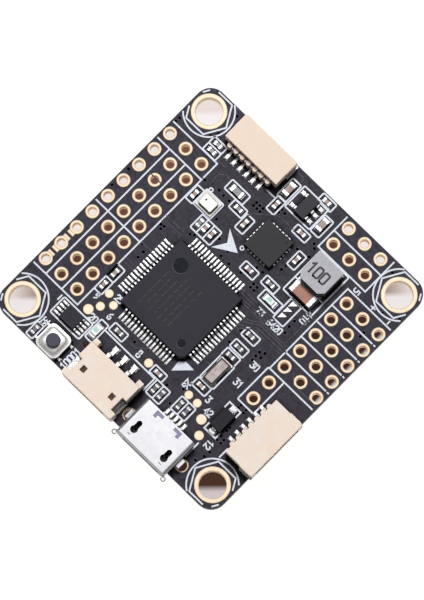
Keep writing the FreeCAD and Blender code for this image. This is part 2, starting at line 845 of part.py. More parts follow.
def diode_terminals():
    exit_z = PACKAGE_LIFT + DIODE_SIZE[2] / 2
    lead = gull_lead(DIODE_SIZE[0] / 2, DIODE_SPAN / 2, exit_z, POWER_LEAD_FOOT, DIODE_LEAD_W)
    return [placed(lead, (*DIODE_AT, angle)) for angle in (90.0, -90.0)]


# ---- Leadless sensors, crystal and inductor -------------------------------------------------------


def motion_sensor_pads():
    long, wide, high = MOTION_PAD
    reach = (MOTION_SIZE - long) / 2
    pads = [block(*MOTION_AT, SURFACE, MOTION_PADDLE, MOTION_PADDLE, high)]
    for angle in (0.0, 90.0, 180.0, 270.0):
        for offset in spread(MOTION_PER_SIDE, MOTION_PITCH):
            pad = block(offset, reach, SURFACE, wide, long, high)
            pads.append(placed(pad, (*MOTION_AT, angle)))
    return pads


def motion_sensor_body():
    body = block(*MOTION_AT, SURFACE + COAT, MOTION_SIZE, MOTION_SIZE, MOTION_HIGH - COAT)
    body = body.cut(motion_sensor_pads())
    return dimple(body, MOTION_AT, MOTION_DIMPLE, SURFACE + MOTION_HIGH)


def pressure_sensor_base():
    return block(*PRESSURE_AT, SURFACE, *PRESSURE_SIZE, PRESSURE_BASE_HIGH)


def pressure_sensor_die():
    return block(*PRESSURE_AT, SURFACE + PRESSURE_BASE_HIGH, *PRESSURE_DIE)


def pressure_sensor_lid():
    z = SURFACE + PRESSURE_BASE_HIGH
    high = PRESSURE_HIGH - PRESSURE_BASE_HIGH
    size_x, size_y = PRESSURE_LID
    outer = block(*PRESSURE_AT, z, size_x, size_y, high)
    upright = [e for e in outer.Edges if abs(e.Vertexes[0].Z - e.Vertexes[1].Z) > high / 2]
    outer = outer.makeFillet(PRESSURE_LID_CORNER, upright)
    rim = [e for e in outer.Edges if min(v.Z for v in e.Vertexes) > z + high / 2]
    outer = outer.makeFillet(PRESSURE_LID_ROUND, rim)
    inner_x, inner_y = size_x - 2 * PRESSURE_WALL, size_y - 2 * PRESSURE_WALL
    hollow = block(*PRESSURE_AT, z, inner_x, inner_y, high - PRESSURE_WALL)
    x, y, radius = PRESSURE_VENT
    vent = rod(PRESSURE_AT[0] + x, PRESSURE_AT[1] + y, z, radius, high)
    return outer.cut([hollow, vent])


def crystal_base():
    return block(*CRYSTAL_AT, SURFACE, *CRYSTAL_SIZE, CRYSTAL_BASE_HIGH)


def crystal_lid():
    lid = block(*CRYSTAL_AT, SURFACE + CRYSTAL_BASE_HIGH, *CRYSTAL_LID)
    rim = [e for e in lid.Edges if min(v.Z for v in e.Vertexes) > SURFACE + CRYSTAL_BASE_HIGH]
    return lid.makeChamfer(CRYSTAL_LID_CHAMFER, rim)


def inductor_core():
    x, y = INDUCTOR_AT
    z = SURFACE + INDUCTOR_PLATE[2]
    high = INDUCTOR_HIGH - INDUCTOR_PLATE[2]
    corners = cut_square(x, y, z, INDUCTOR_SIZE, INDUCTOR_SIZE, INDUCTOR_CUT, ((1, -1), (1, 1)))
    lower = prism(corners, Vector(0, 0, INDUCTOR_FLANGE))
    upper = lower.translated(Vector(0, 0, high - INDUCTOR_FLANGE))
    post = rod(x, y, z, INDUCTOR_POST_R, high)
    return lower.fuse([upper, post]).removeSplitter()


def inductor_gap(inset):
    """The space between the two flanges, drawn in from their edges."""
    x, y = INDUCTOR_AT
    z = SURFACE + INDUCTOR_PLATE[2] + INDUCTOR_FLANGE
    high = INDUCTOR_HIGH - INDUCTOR_PLATE[2] - 2 * INDUCTOR_FLANGE
    size = INDUCTOR_SIZE - 2 * inset
    corners = cut_square(x, y, z, size, size, INDUCTOR_CUT, ((1, -1), (1, 1)))
    return prism(corners, Vector(0, 0, high)), z, high


def inductor_resin():
    resin, z, high = inductor_gap(INDUCTOR_RESIN_INSET)
    return resin.cut(rod(*INDUCTOR_AT, z, INDUCTOR_WINDING_R, high))


def inductor_winding():
    _, z, high = inductor_gap(INDUCTOR_RESIN_INSET)
    return rod(*INDUCTOR_AT, z, INDUCTOR_WINDING_R, high).cut(
        rod(*INDUCTOR_AT, z, INDUCTOR_POST_R, high)
    )


def inductor_terminals():
    x, y = INDUCTOR_AT
    step = INDUCTOR_PLATE_PITCH / 2
    return [block(x + sign * step, y, SURFACE, *INDUCTOR_PLATE) for sign in (-1, 1)]


# ---- Sockets --------------------------------------------------------------------------------------


def bent_contact(tip, pin_z, pin_t, tail, foot, width):
    """A contact: a straight pin, a drop behind the housing and a foot pointing away."""
    points = [
        (tip, pin_z),
        (tip, pin_z + pin_t),
        (-tail - pin_t / 2, pin_z + pin_t),
        (-tail - pin_t, pin_z + pin_t / 2),
        (-tail - pin_t, pin_t),
        (-foot, pin_t),
        (-foot, 0),
        (-tail, 0),
        (-tail, pin_z),
    ]
    return side_profile(points, 0, width)


def contact_row(contact, ways, pitch, place):
    return lead_row(place, spread(ways, pitch), contact)


def side_tabs(size_x, recess, recess_y, thick, feet):
    """The two solder tabs in the side recesses, each with a foot turned outwards."""
    deep, long, high = recess
    inner = size_x / 2 - deep
    middle = recess_y + long / 2
    tabs = []
    for sign, foot in zip((-1, 1), feet):
        upright = block(sign * (inner + thick / 2), middle, SURFACE, thick, long, high)
        reach = deep + foot
        sole = block(sign * (inner + reach / 2), middle, SURFACE, reach, long, thick)
        tabs.append(upright.fuse(sole).removeSplitter())
    return tabs


def recess_blocks(size_x, recess, recess_y):
    """The spaces cut into the housing sides for the solder tabs."""
    deep, long, high = recess
    x = (size_x - deep) / 2
    return [block(sign * x, recess_y + long / 2, SURFACE, deep, long, high) for sign in (-1, 1)]


def rounded_housing(size, corner):
    """A box with rounded front corners and softened top edges."""
    size_x, size_y, high = size
    shell = block(0, size_y / 2, SURFACE, size_x, size_y, high)
    upright = [e for e in shell.Edges if abs(e.Vertexes[0].Z - e.Vertexes[1].Z) > high / 2]
    shell = shell.makeFillet(corner, [e for e in upright if e.Vertexes[0].Y > size_y / 2])
    rim = [e for e in shell.Edges if min(v.Z for v in e.Vertexes) > SURFACE + high / 2]
    return shell.makeFillet(SOCKET_ROUND, rim)


def socket_contact(socket):
    return bent_contact(
        socket["size"][1] - SOCKET_PIN_SET_BACK,
        SOCKET_PIN_Z,
        SOCKET_PIN_T,
        SOCKET_TAIL,
        socket["foot"],
        SOCKET_PIN_W,
    )


def socket_ribs(socket):
    """Round-backed ribs behind the housing, one on each side of every contact."""
    reach, high = socket["rib"]
    back = SOCKET_RIB_R - reach
    ribs = []
    for x in spread(SOCKET_WAYS + 1, SOCKET_PITCH):
        ribs.append(rod(x, back, SURFACE, SOCKET_RIB_R, high))
        ribs.append(block(x, back / 2, SURFACE, 2 * SOCKET_RIB_R, abs(back), high))
    return ribs


def socket_housing(socket):
    """A six-way housing: mouth in front, ribs between the contacts behind, recesses at the sides."""
    size_x, size_y, high = socket["size"]
    shell = rounded_housing(socket["size"], socket["corner"]).fuse(socket_ribs(socket))
    mouth_x, mouth_z, mouth_high = SOCKET_MOUTH
    mouth_y = size_y - SOCKET_BACK
    spaces = [block(0, size_y - mouth_y / 2, SURFACE + mouth_z, mouth_x, mouth_y, mouth_high)]
    recess_y = size_y - SOCKET_RECESS[1]
    shoulder = (socket["shoulder"], recess_y, high)
    spaces += recess_blocks(size_x, shoulder, 0)
    spaces += recess_blocks(size_x, SOCKET_RECESS, recess_y)
    spaces += contact_row(socket_contact(socket), SOCKET_WAYS, SOCKET_PITCH, (0, 0, 0))
    return placed(shell.cut(spaces), socket["at"])


def socket_contacts(socket):
    return contact_row(socket_contact(socket), SOCKET_WAYS, SOCKET_PITCH, socket["at"])


def socket_tabs(socket):
    size_x, size_y, _ = socket["size"]
    recess_y = size_y - SOCKET_RECESS[1]
    tabs = side_tabs(size_x, SOCKET_RECESS, recess_y, SOCKET_TAB_T, SOCKET_TAB_FEET)
    return [placed(tab, socket["at"]) for tab in tabs]


def power_contact():
    return bent_contact(
        POWER_PIN_TIP, POWER_PIN_Z, POWER_PIN_T, POWER_TAIL, POWER_FOOT, POWER_PIN_W
    )


def power_socket_housing():
    """The three-way housing: a wider lip in front, a wing behind each end, windows in the top."""
    size_x, size_y, high = POWER_SIZE
    shell = rounded_housing(POWER_SIZE, POWER_ROUND)
    lip_x, lip_y = POWER_LIP
    lip = rounded_housing((lip_x, lip_y, high), POWER_ROUND)
    wing_x, wing_y, wing_high = POWER_WING
    reach = (size_x - wing_x) / 2
    wings = [
        block(sign * reach, -wing_y / 2, SURFACE, wing_x, wing_y, wing_high) for sign in (-1, 1)
    ]
    recesses = recess_blocks(size_x, POWER_RECESS, POWER_RECESS_Y)
    shell = shell.cut(recesses).fuse([lip.translated(Vector(0, size_y - lip_y, 0))] + wings)
    mouth_x, mouth_y, mouth_z, mouth_high = POWER_MOUTH
    spaces = [block(0, size_y - mouth_y / 2, SURFACE + mouth_z, mouth_x, mouth_y, mouth_high)]
    window_x, window_y, offset_x, offset_y = POWER_WINDOW
    for sign in (-1, 1):
        spaces.append(
            block(sign * offset_x, offset_y, SURFACE + high / 2, window_x, window_y, high)
        )
    spaces += contact_row(power_contact(), POWER_WAYS, POWER_PITCH, (0, 0, 0))
    return placed(shell.cut(spaces), POWER_SOCKET_AT)


def power_socket_contacts():
    return contact_row(power_contact(), POWER_WAYS, POWER_PITCH, POWER_SOCKET_AT)


def power_socket_tabs():
    deep, long, _ = POWER_RECESS
    recess = (deep, long, POWER_TAB_HIGH)
    tabs = side_tabs(POWER_SIZE[0], recess, POWER_RECESS_Y, POWER_TAB_T, POWER_TAB_FEET)
    return [placed(tab, POWER_SOCKET_AT) for tab in tabs]


# ---- USB receptacle -------------------------------------------------------------------------------


def usb_section(y, grow):
    """Corner points of the shell section: flat top, drawn-in lower corners."""
    top = SURFACE + USB_TOP + grow
    bend = SURFACE + USB_BEND
    low = SURFACE + USB_BOTTOM - grow
    wide = USB_WIDE / 2 + grow
    narrow = USB_NARROW / 2 + grow
    corners = ((-wide, top), (wide, top), (wide, bend), (narrow, low), (-narrow, low), (-wide, bend))
    return [Vector(x, y, z) for x, z in corners]


def usb_tube(grow, radius):
    """The straight part of the shell as a solid bar with rounded long edges."""
    bar = prism(usb_section(0, grow), Vector(0, USB_LONG, 0))
    along = [e for e in bar.Edges if abs(e.Vertexes[0].Y - e.Vertexes[1].Y) > USB_LONG / 2]
    return bar.makeFillet(radius, along)


def usb_flare(grow):
    """The widening lip in front of the straight part, as a solid."""
    near = loop(usb_section(USB_LONG, grow))
    far = loop(usb_section(USB_LONG + USB_FLARE, grow + USB_FLARE_OUT))
    return Part.makeLoft([near, far], True, True)


def usb_latch_window(x):
    """The pin-shaped latch window: a round head, a neck and a larger round end."""
    z = SURFACE + USB_TOP - 2 * USB_WALL
    high = 3 * USB_WALL
    ends = [rod(x, y, z, radius, high) for y, radius in (USB_WINDOW_HEAD, USB_WINDOW_BALL)]
    long = USB_WINDOW_BALL[0] - USB_WINDOW_HEAD[0]
    neck = block(x, USB_WINDOW_HEAD[0] + long / 2, z, USB_WINDOW_NECK, long, high)
    return neck.fuse(ends)


def usb_top_cuts():
    """Latch windows through the top of the shell, and shallow pressed slots and ticks in it."""
    z = SURFACE + USB_TOP - USB_PRESSED
    cuts = []
    for sign in (-1, 1):
        cuts.append(usb_latch_window(sign * USB_WINDOW_X))
        tick_x, tick_y, y = USB_TICK
        cuts.append(block(sign * USB_TICK_X, y, z, tick_x, tick_y, USB_WALL))
        long_x, long_y, y = USB_SLOT
        cuts.append(block(sign * USB_SLOT_X, y, z, long_x, long_y, USB_WALL))
        leg_x, leg_y = USB_SLOT_LEG
        outer = USB_SLOT_X + (long_x - leg_x) / 2
        cuts.append(block(sign * outer, y + leg_y / 2, z, leg_x, leg_y, USB_WALL))
    return cuts


def usb_stake(sign):
    """A leg bent out of the shell side and turned down into its hole."""
    x, y, long = USB_STAKE
    side = USB_WIDE / 2 - USB_WALL / 2
    reach = x + USB_WALL / 2 - side
    top = SURFACE + USB_STAKE_TOP
    arm = block(sign * (side + reach / 2), y, top, reach, long, USB_WALL)
    drop = USB_STAKE_TOP + USB_STAKE_DEPTH + USB_WALL
    leg = block(sign * x, y, top + USB_WALL - drop, USB_WALL, long, drop)
    return arm.fuse(leg).removeSplitter()


def usb_shell():
    outer = usb_tube(0, USB_ROUND)
    lip = usb_flare(0).cut(usb_flare(-USB_WALL))
    inner = usb_tube(-USB_WALL, USB_ROUND - USB_WALL / 2)
    reach_x = USB_WIDE / 2 + USB_FLARE_OUT
    corner_y = USB_LONG + USB_FLARE
    notch_z = SURFACE + USB_TOP - USB_CORNER_CUT / 2
    notches = [
        block(sign * reach_x, corner_y, notch_z, USB_CORNER_CUT, USB_FLARE, USB_CORNER_CUT)
        for sign in (-1, 1)
    ]
    stakes = [usb_stake(sign) for sign in (-1, 1)]
    shell = outer.fuse([lip] + stakes).cut([inner] + usb_top_cuts() + notches)
    return placed(shell.removeSplitter(), USB_AT)


def usb_contact():
    return bent_contact(
        USB_CONTACT_TIP,
        USB_TONGUE_Z - USB_CONTACT_T,
        USB_CONTACT_T,
        USB_CONTACT_TAIL,
        USB_CONTACT_FOOT,
        USB_CONTACT_W,
    )


def usb_insulator():
    """The plug that closes the rear of the shell, with the contact tongue in front of it."""
    plug = usb_tube(-USB_WALL, USB_ROUND - USB_WALL / 2)
    size_x = 2 * USB_WIDE
    front = block(0, USB_PLUG_LONG + USB_LONG, SURFACE, size_x, 2 * USB_LONG, USB_WIDE)
    wide, long, high = USB_TONGUE
    tongue = block(0, long / 2, SURFACE + USB_TONGUE_Z, wide, long, high)
    body = plug.cut(front).fuse(tongue).removeSplitter()
    contacts = contact_row(usb_contact(), USB_CONTACTS, USB_CONTACT_PITCH, (0, 0, 0))
    return placed(body.cut(contacts), USB_AT)


def usb_contacts():
    return contact_row(usb_contact(), USB_CONTACTS, USB_CONTACT_PITCH, USB_AT)


# ---- Push button ----------------------------------------------------------------------------------


def button_terminals():
    """Two frames through the base, each with two feet; one reaches the middle of the well."""
    x, y = BUTTON_AT
    floor = SURFACE + BUTTON_FLOOR - BUTTON_FRAME_T
    inner = BUTTON_BASE[1] / 2
    frames = []
    for sign in (-1, 1):
        strip_x = x + sign * BUTTON_FRAME_X
        span = 2 * inner + 2 * BUTTON_FRAME_T
        frame = block(strip_x, y, floor, BUTTON_FRAME_W, span, BUTTON_FRAME_T)
        for end in (-1, 1):
            drop_y = y + end * (inner + BUTTON_FRAME_T / 2)
            frame = frame.fuse(
                block(strip_x, drop_y, SURFACE, BUTTON_FRAME_W, BUTTON_FRAME_T, BUTTON_FLOOR)
            )
            foot_long = BUTTON_FOOT_Y - inner
            foot_y = y + end * (inner + foot_long / 2)
            frame = frame.fuse(
                block(strip_x, foot_y, SURFACE, BUTTON_FRAME_W, foot_long, BUTTON_FRAME_T)
            )
        frames.append(frame)
    arm_x = x - BUTTON_FRAME_X / 2
    arm = block(arm_x, y, floor, BUTTON_FRAME_X, BUTTON_FRAME_W, BUTTON_FRAME_T)
    centre = rod(x, y, floor, BUTTON_CENTRE_R, BUTTON_FRAME_T)
    frames[0] = frames[0].fuse([arm, centre])
    return [frame.removeSplitter() for frame in frames]


def button_base():
    x, y = BUTTON_AT
    size_x, size_y, high = BUTTON_BASE
    base = block(x, y, SURFACE + COAT, size_x, size_y, high - COAT)
    well = rod(x, y, SURFACE + BUTTON_FLOOR, BUTTON_WELL_R, high)
    return base.cut([well] + button_terminals())


def dome_cap(radius, high, z):
    """A solid spherical cap of the given rim radius and height, standing on z."""
    sphere_r = (radius**2 + high**2) / (2 * high)
    centre = Vector(*BUTTON_AT, z + high - sphere_r)
    keep = block(*BUTTON_AT, z, 2 * radius, 2 * radius, high)
    return Part.makeSphere(sphere_r, centre).common(keep)


def button_dome():
    z = SURFACE + BUTTON_FLOOR
    outer = dome_cap(BUTTON_DOME_R, BUTTON_DOME_HIGH, z)
    inner = dome_cap(BUTTON_DOME_R - BUTTON_DOME_T, BUTTON_DOME_HIGH - BUTTON_DOME_T, z)
    return outer.cut(inner)


def button_plunger():
    x, y = BUTTON_AT
    foot = SURFACE + BUTTON_FLOOR + BUTTON_DOME_HIGH
    under_cover = SURFACE + BUTTON_RAISED_TOP - BUTTON_COVER[2]
    flange_z = under_cover - BUTTON_FLANGE_T
    stem = rod(x, y, flange_z, BUTTON_PLUNGER_R, SURFACE + BUTTON_TOP - flange_z)
    rim = [e for e in stem.Edges if min(v.Z for v in e.Vertexes) > under_cover]
    stem = stem.makeFillet(BUTTON_ROUND, rim)
    flange = rod(x, y, flange_z, BUTTON_FLANGE_R, BUTTON_FLANGE_T)
    nub = rod(x, y, foot, BUTTON_NUB_R, flange_z - foot)
    return stem.fuse([flange, nub]).removeSplitter()


def button_cover():
    """A sheet cover: flat rim with cut corners, raised square with the plunger hole, side skirts."""
    x, y = BUTTON_AT
    size_x, size_y, sheet = BUTTON_COVER
    z = SURFACE + BUTTON_BASE[2]
    every = ((-1, -1), (1, -1), (1, 1), (-1, 1))
    rim = prism(cut_square(x, y, z, size_x, size_y, BUTTON_COVER_CUT, every), Vector(0, 0, sheet))
    raised_high = SURFACE + BUTTON_RAISED_TOP - z
    raised = block(x, y, z, BUTTON_RAISED, BUTTON_RAISED, raised_high)
    inner = BUTTON_RAISED - 2 * sheet
    hollow = block(x, y, z, inner, inner, raised_high - sheet)
    hole = rod(x, y, z, BUTTON_PLUNGER_R + BUTTON_CLEARANCE, raised_high)
    skirt_long, skirt_high = BUTTON_SKIRT
    skirt_t = (size_x - BUTTON_BASE[0]) / 2
    skirts = [
        block(x + sign * (size_x - skirt_t) / 2, y, z - skirt_high, skirt_t, skirt_long, skirt_high)
        for sign in (-1, 1)
    ]
    return rim.fuse([raised] + skirts).removeSplitter().cut([hollow, hole])


# ---- Files ----------------------------------------------------------------------------------------


def write(node, shapes):
    """Write one sub-part; a list of pieces becomes one file of separate solids."""
    shape = Part.makeCompound(shapes) if isinstance(shapes, list) else shapes
    shape.exportStep(f"parts/{node}.step")


os.makedirs("parts", exist_ok=True)

write("board_laminate", board_laminate())
write("solder_mask_top", solder_mask_top())
write("solder_mask_bottom", solder_mask_bottom())
write("mounting_hole_plating", mounting_hole_plating())
write("header_hole_plating", header_hole_plating())
write("stake_hole_plating", stake_hole_plating())
write("test_pads", test_pads())
write("bridge_tabs", bridge_tabs(TOP_COPPER_Z, COPPER_T, 0))
write("jumper_pads", jumper_pads(TOP_COPPER_Z, COPPER_T, 0))
write("component_lands", component_lands())

write("processor_body", processor_body())
write("processor_leads", processor_leads())
write("motion_sensor_body", motion_sensor_body())
write("motion_sensor_pads", motion_sensor_pads())
write("pressure_sensor_base", pressure_sensor_base())
write("pressure_sensor_die", pressure_sensor_die())
write("pressure_sensor_lid", pressure_sensor_lid())
write("memory_body", memory_body())
write("memory_leads", memory_leads())
write("regulator_body", regulator_body())
write("regulator_leads", regulator_leads())
write("diode_body", diode_body())
write("diode_terminals", diode_terminals())
write("crystal_base", crystal_base())
write("crystal_lid", crystal_lid())
write("inductor_core", inductor_core())
write("inductor_winding", inductor_winding())
write("inductor_resin", inductor_resin())
write("inductor_terminals", inductor_terminals())

write("power_capacitor_body", power_capacitor_body())
write("power_capacitor_terminals", power_capacitor_terminals())
write("capacitor_bodies", capacitor_bodies())
write("capacitor_terminals", capacitor_terminals())
write("resistor_bodies", resistor_bodies())
write("resistor_coats", resistor_coats())
write("resistor_terminals", resistor_terminals())
write("led_bases", led_bases())
write("led_lenses", led_lenses())
write("led_terminals", led_terminals())

write("usb_shell", usb_shell())
write("usb_insulator", usb_insulator())
write("usb_contacts", usb_contacts())
write("side_socket_housing", socket_housing(SIDE_SOCKET))
write("side_socket_contacts", socket_contacts(SIDE_SOCKET))
write("side_socket_tabs", socket_tabs(SIDE_SOCKET))
write("front_socket_housing", socket_housing(FRONT_SOCKET))
write("front_socket_contacts", socket_contacts(FRONT_SOCKET))
write("front_socket_tabs", socket_tabs(FRONT_SOCKET))
write("power_socket_housing", power_socket_housing())
write("power_socket_contacts", power_socket_contacts())
write("power_socket_tabs", power_socket_tabs())

write("button_base", button_base())
write("button_terminals", button_terminals())
write("button_dome", button_dome())
write("button_plunger", button_plunger())
write("button_cover", button_cover())
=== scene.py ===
import itertools
import json
import math
import random

import bmesh
import bpy
from mathutils import Matrix, Vector


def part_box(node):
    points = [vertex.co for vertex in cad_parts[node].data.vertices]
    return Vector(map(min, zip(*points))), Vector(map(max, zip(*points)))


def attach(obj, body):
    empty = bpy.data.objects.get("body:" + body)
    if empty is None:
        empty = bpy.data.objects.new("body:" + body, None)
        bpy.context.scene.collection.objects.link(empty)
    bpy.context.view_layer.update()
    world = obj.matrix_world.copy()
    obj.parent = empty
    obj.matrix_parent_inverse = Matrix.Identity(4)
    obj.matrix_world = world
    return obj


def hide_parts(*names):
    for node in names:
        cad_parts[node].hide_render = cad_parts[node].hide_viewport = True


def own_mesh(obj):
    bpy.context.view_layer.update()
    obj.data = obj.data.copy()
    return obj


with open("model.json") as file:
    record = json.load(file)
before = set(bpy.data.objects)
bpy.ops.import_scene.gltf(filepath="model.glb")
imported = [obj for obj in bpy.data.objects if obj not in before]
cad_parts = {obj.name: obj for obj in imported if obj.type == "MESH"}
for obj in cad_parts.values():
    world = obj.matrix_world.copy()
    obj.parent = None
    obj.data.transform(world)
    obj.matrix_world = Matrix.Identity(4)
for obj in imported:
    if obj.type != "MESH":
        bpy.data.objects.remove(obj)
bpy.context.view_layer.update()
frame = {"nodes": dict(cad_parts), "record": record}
BOARD = "board"
MM = 0.001
rng = random.Random(7)


def box_mm(node):
    """Lowest and highest corners of a CAD node, in millimetres."""
    return [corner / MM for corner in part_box(node)]


# Heights that the flat pieces are built on, and the far corner of the board.
MASK_Z = box_mm("solder_mask_top")[1].z
LAND_Z = box_mm("component_lands")[1].z
BOARD_MAX = box_mm("board_laminate")[1]
# How far the flared lip of the USB shell stands above its top sheet.
USB_FLARE_RISE = 0.15


# ---- Materials ----


def times(values, factor):
    """A colour or a vector multiplied by a number."""
    return tuple(value * factor for value in values)


class Shader:
    """A principled material with object coordinates in millimetres and helpers for layers."""

    def __init__(self, name, rough=0.5, metal=0.0, coat=0.0):
        self.mat = bpy.data.materials.new(name)
        self.mat.use_nodes = True
        self.tree = self.mat.node_tree
        self.bsdf = self.tree.nodes["Principled BSDF"]
        self.put("Roughness", rough)
        self.put("Metallic", metal)
        self.put("Coat Weight", coat)
        self.put("Coat Roughness", 0.25)
        self.coords = self.node("TexCoord").outputs["Object"]
        self.normal = None

    def feed(self, socket, value):
        """Gives an input a number, a colour or the value of another socket."""
        if isinstance(value, bpy.types.NodeSocket):
            self.tree.links.new(value, socket)
        elif socket.type == "RGBA":
            socket.default_value = (*value, 1.0)
        else:
            socket.default_value = value

    def put(self, name, value):
        """Sets an input of the surface."""
        self.feed(self.bsdf.inputs[name], value)

    def node(self, kind, inputs=None, **settings):
        """A new shader node with its settings and inputs."""
        made = self.tree.nodes.new("ShaderNode" + kind)
        for key, value in settings.items():
            setattr(made, key, value)
        for key, value in (inputs or {}).items():
            self.feed(made.inputs[key], value)
        return made

    def space(self, stretch=(1, 1, 1), turn=0.0):
        """Object coordinates in millimetres, stretched and turned about Z."""
        inputs = {"Vector": self.coords, "Scale": times(stretch, 1000)}
        made = self.node("Mapping", inputs)
        made.inputs["Rotation"].default_value[2] = math.radians(turn)
        return made.outputs["Vector"]

    def noise(self, per_mm, detail=4.0, stretch=(1, 1, 1), turn=0.0, offset=0.0):
        """Fractal noise, with a number of features to the millimetre."""
        inputs = {"Vector": self.space(stretch, turn), "W": offset}
        inputs |= {"Scale": per_mm, "Detail": detail}
        return self.node("TexNoise", inputs, noise_dimensions="4D").outputs["Fac"]

    def cells(self, per_mm):
        """Distance to the nearest of many scattered points."""
        inputs = {"Vector": self.space(), "Scale": per_mm}
        return self.node("TexVoronoi", inputs).outputs["Distance"]

    def wave(self, per_mm, turn=0.0):
        """Even bands, turned about Z."""
        inputs = {"Vector": self.space(turn=turn), "Scale": per_mm}
        return self.node("TexWave", inputs).outputs["Fac"]

    def parts(self, vector):
        """The X, Y and Z of a vector."""
        made = self.node("SeparateXYZ", {"Vector": vector})
        return [made.outputs[axis] for axis in "XYZ"]

    def place(self):
        """The X, Y and Z, in millimetres, of the point being shaded."""
        return self.parts(self.space())

    def dot(self, one, two):
        """Dot product of two directions."""
        return self.node("VectorMath", {0: one, 1: two}, operation="DOT_PRODUCT").outputs["Value"]

    def math(self, operation, one, two=0.0):
        """A sum, product or other operation on sockets and numbers."""
        return self.node("Math", {0: one, 1: two}, operation=operation).outputs["Value"]

    def length(self, x, y):
        """Length of a flat vector."""
        squares = [self.math("MULTIPLY", part, part) for part in (x, y)]
        return self.math("SQRT", self.math("ADD", *squares))

    def ramp(self, value, low, high, start=0.0, end=1.0):
        """The value remapped from low..high to start..end."""
        inputs = {"Value": value, "From Min": low, "From Max": high}
        inputs |= {"To Min": start, "To Max": end}
        return self.node("MapRange", inputs).outputs["Result"]

    def mix(self, factor, one, two):
        """A colour between two colours or colour sockets."""
        inputs = {"Factor": factor, "A": one, "B": two}
        return self.node("Mix", inputs, data_type="RGBA").outputs["Result"]

    def edge_light_and_shade(self, colour, edge_tone, radius, amount):
        """The colour moved towards a second tone along convex edges, found by a bevelled normal: a
        painted highlight where that tone is lighter, painted shade where it is darker.
        """
        bevel = self.node("Bevel", {"Radius": radius * MM}, samples=4).outputs["Normal"]
        surface = self.node("NewGeometry").outputs["Normal"]
        edge = self.ramp(self.dot(bevel, surface), 1.0, 0.85, 0.0, amount)
        return self.mix(edge, colour, edge_tone)

    def shaded(self, colour, reach=0.5, deep=(0.0, 0.0, 0.0), low=0.3, high=0.9, shine=0.5):
        """Painted shade: the colour and its highlights sunk towards a deep tone in corners and gaps,
        found by ambient occlusion.
        """
        shade = self.node("AmbientOcclusion", {"Distance": reach * MM}, samples=6)
        light = self.ramp(shade.outputs["AO"], low, high)
        self.put("Specular IOR Level", self.ramp(light, 0.0, 1.0, 0.0, shine))
        return self.mix(light, deep, colour)

    def bump(self, height, depth_mm, strength=1.0):
        """Adds a bump layer whose full height is depth_mm."""
        inputs = {"Height": height, "Distance": depth_mm * MM, "Strength": strength}
        if self.normal is not None:
            inputs["Normal"] = self.normal
        self.normal = self.node("Bump", inputs).outputs["Normal"]
        self.put("Normal", self.normal)
        return self


def mask_material(name, base, light):
    """Near-black solder mask: faint glass weave, resist grain and soft waviness."""
    s = Shader(name)
    tone = s.mix(s.noise(0.35, 5), base, light)
    tone = s.mix(s.ramp(s.noise(5, 3), 0.5, 0.72), tone, times(light, 1.9))
    blotches = s.ramp(s.noise(1.4, 3, offset=2.0), 0.5, 0.7, 0.0, 0.8)
    tone = s.mix(blotches, tone, (0.008, 0.006, 0.010))
    s.put("Base Color", s.shaded(tone, 0.8, low=0.4, high=0.93, shine=0.16))
    s.put("Roughness", s.ramp(s.noise(2.5, 4), 0.3, 0.7, 0.44, 0.62))
    weave = s.mix(s.wave(0.9, 0), s.wave(0.9, 90), (0.5, 0.5, 0.5))
    return s.bump(weave, 0.002, 0.25).bump(s.noise(14, 3), 0.004, 0.6).mat


def laminate_material():
    """Dark glass-fibre laminate with its layers showing at the cut edge."""
    s = Shader("glass_laminate", rough=0.62)
    layers = s.noise(2.2, 3, stretch=(0.6, 0.6, 9))
    tone = s.mix(layers, (0.028, 0.024, 0.024), (0.075, 0.066, 0.058))
    s.put("Base Color", tone)
    return s.bump(layers, 0.02).bump(s.noise(16, 2), 0.008).mat


def metal_material(name, base, tint, rough, grain, stretch=(1, 1, 1), metal=0.5):
    """A plated metal with cloudy tint, fine grain and slightly varied polish."""
    s = Shader(name, metal=metal)
    tone = s.mix(s.ramp(s.noise(1.3, 4), 0.35, 0.7), base, tint)
    s.put("Base Color", s.shaded(tone, 0.6, (0.02, 0.02, 0.022), 0.25, 0.75))
    lines = s.noise(grain, 3, stretch=stretch)
    s.put("Roughness", s.ramp(lines, 0.3, 0.7, rough * 0.8, rough * 1.25))
    return s.bump(lines, 0.003, 0.6).mat


def gold_material():
    """Pale immersion gold with a soft grain and darker specks, and painted shade that makes it browner
    towards its edges.
    """
    s = Shader("immersion_gold", rough=0.6, metal=0.12)
    tone = s.mix(s.ramp(s.noise(1.1, 4), 0.35, 0.7), (0.86, 0.69, 0.49), (0.91, 0.78, 0.60))
    tone = s.mix(s.ramp(s.cells(5), 0.0, 0.18, 0.35, 0.0), tone, (0.70, 0.52, 0.32))
    # Painted shade: brown along the edges of every pad and ring.
    tone = s.edge_light_and_shade(tone, (0.30, 0.15, 0.06), 0.16, 1.0)
    s.put("Base Color", tone)
    return s.bump(s.noise(10, 3), 0.006).mat


def usb_steel_material():
    """Tinned steel, bright outside, with painted shade: near-black inside and violet-grey where the sheet
    is pressed in.
    """
    s = Shader("usb_shell_metal", metal=0.45)
    tone = s.mix(s.ramp(s.noise(1.3, 4), 0.35, 0.7), (0.48, 0.48, 0.495), (0.425, 0.425, 0.445))
    top = box_mm("usb_shell")[1].z - USB_FLARE_RISE
    below = s.math("SUBTRACT", top, s.place()[2])
    # Painted shade: violet-grey on the floors of the pressed-in slots.
    pressed_shade = s.math("MULTIPLY", s.ramp(below, 0.04, 0.07), s.ramp(below, 0.14, 0.11))
    tone = s.mix(pressed_shade, tone, (0.13, 0.125, 0.19))
    # Painted shade: near-black inside the shell.
    s.put("Base Color", s.shaded(tone, 3.0, (0.002, 0.002, 0.002), 0.36, 0.52))
    lines = s.noise(5, 3, stretch=(0.3, 6, 1))
    s.put("Roughness", s.ramp(lines, 0.3, 0.7, 0.27, 0.42))
    return s.bump(lines, 0.003, 0.6).mat


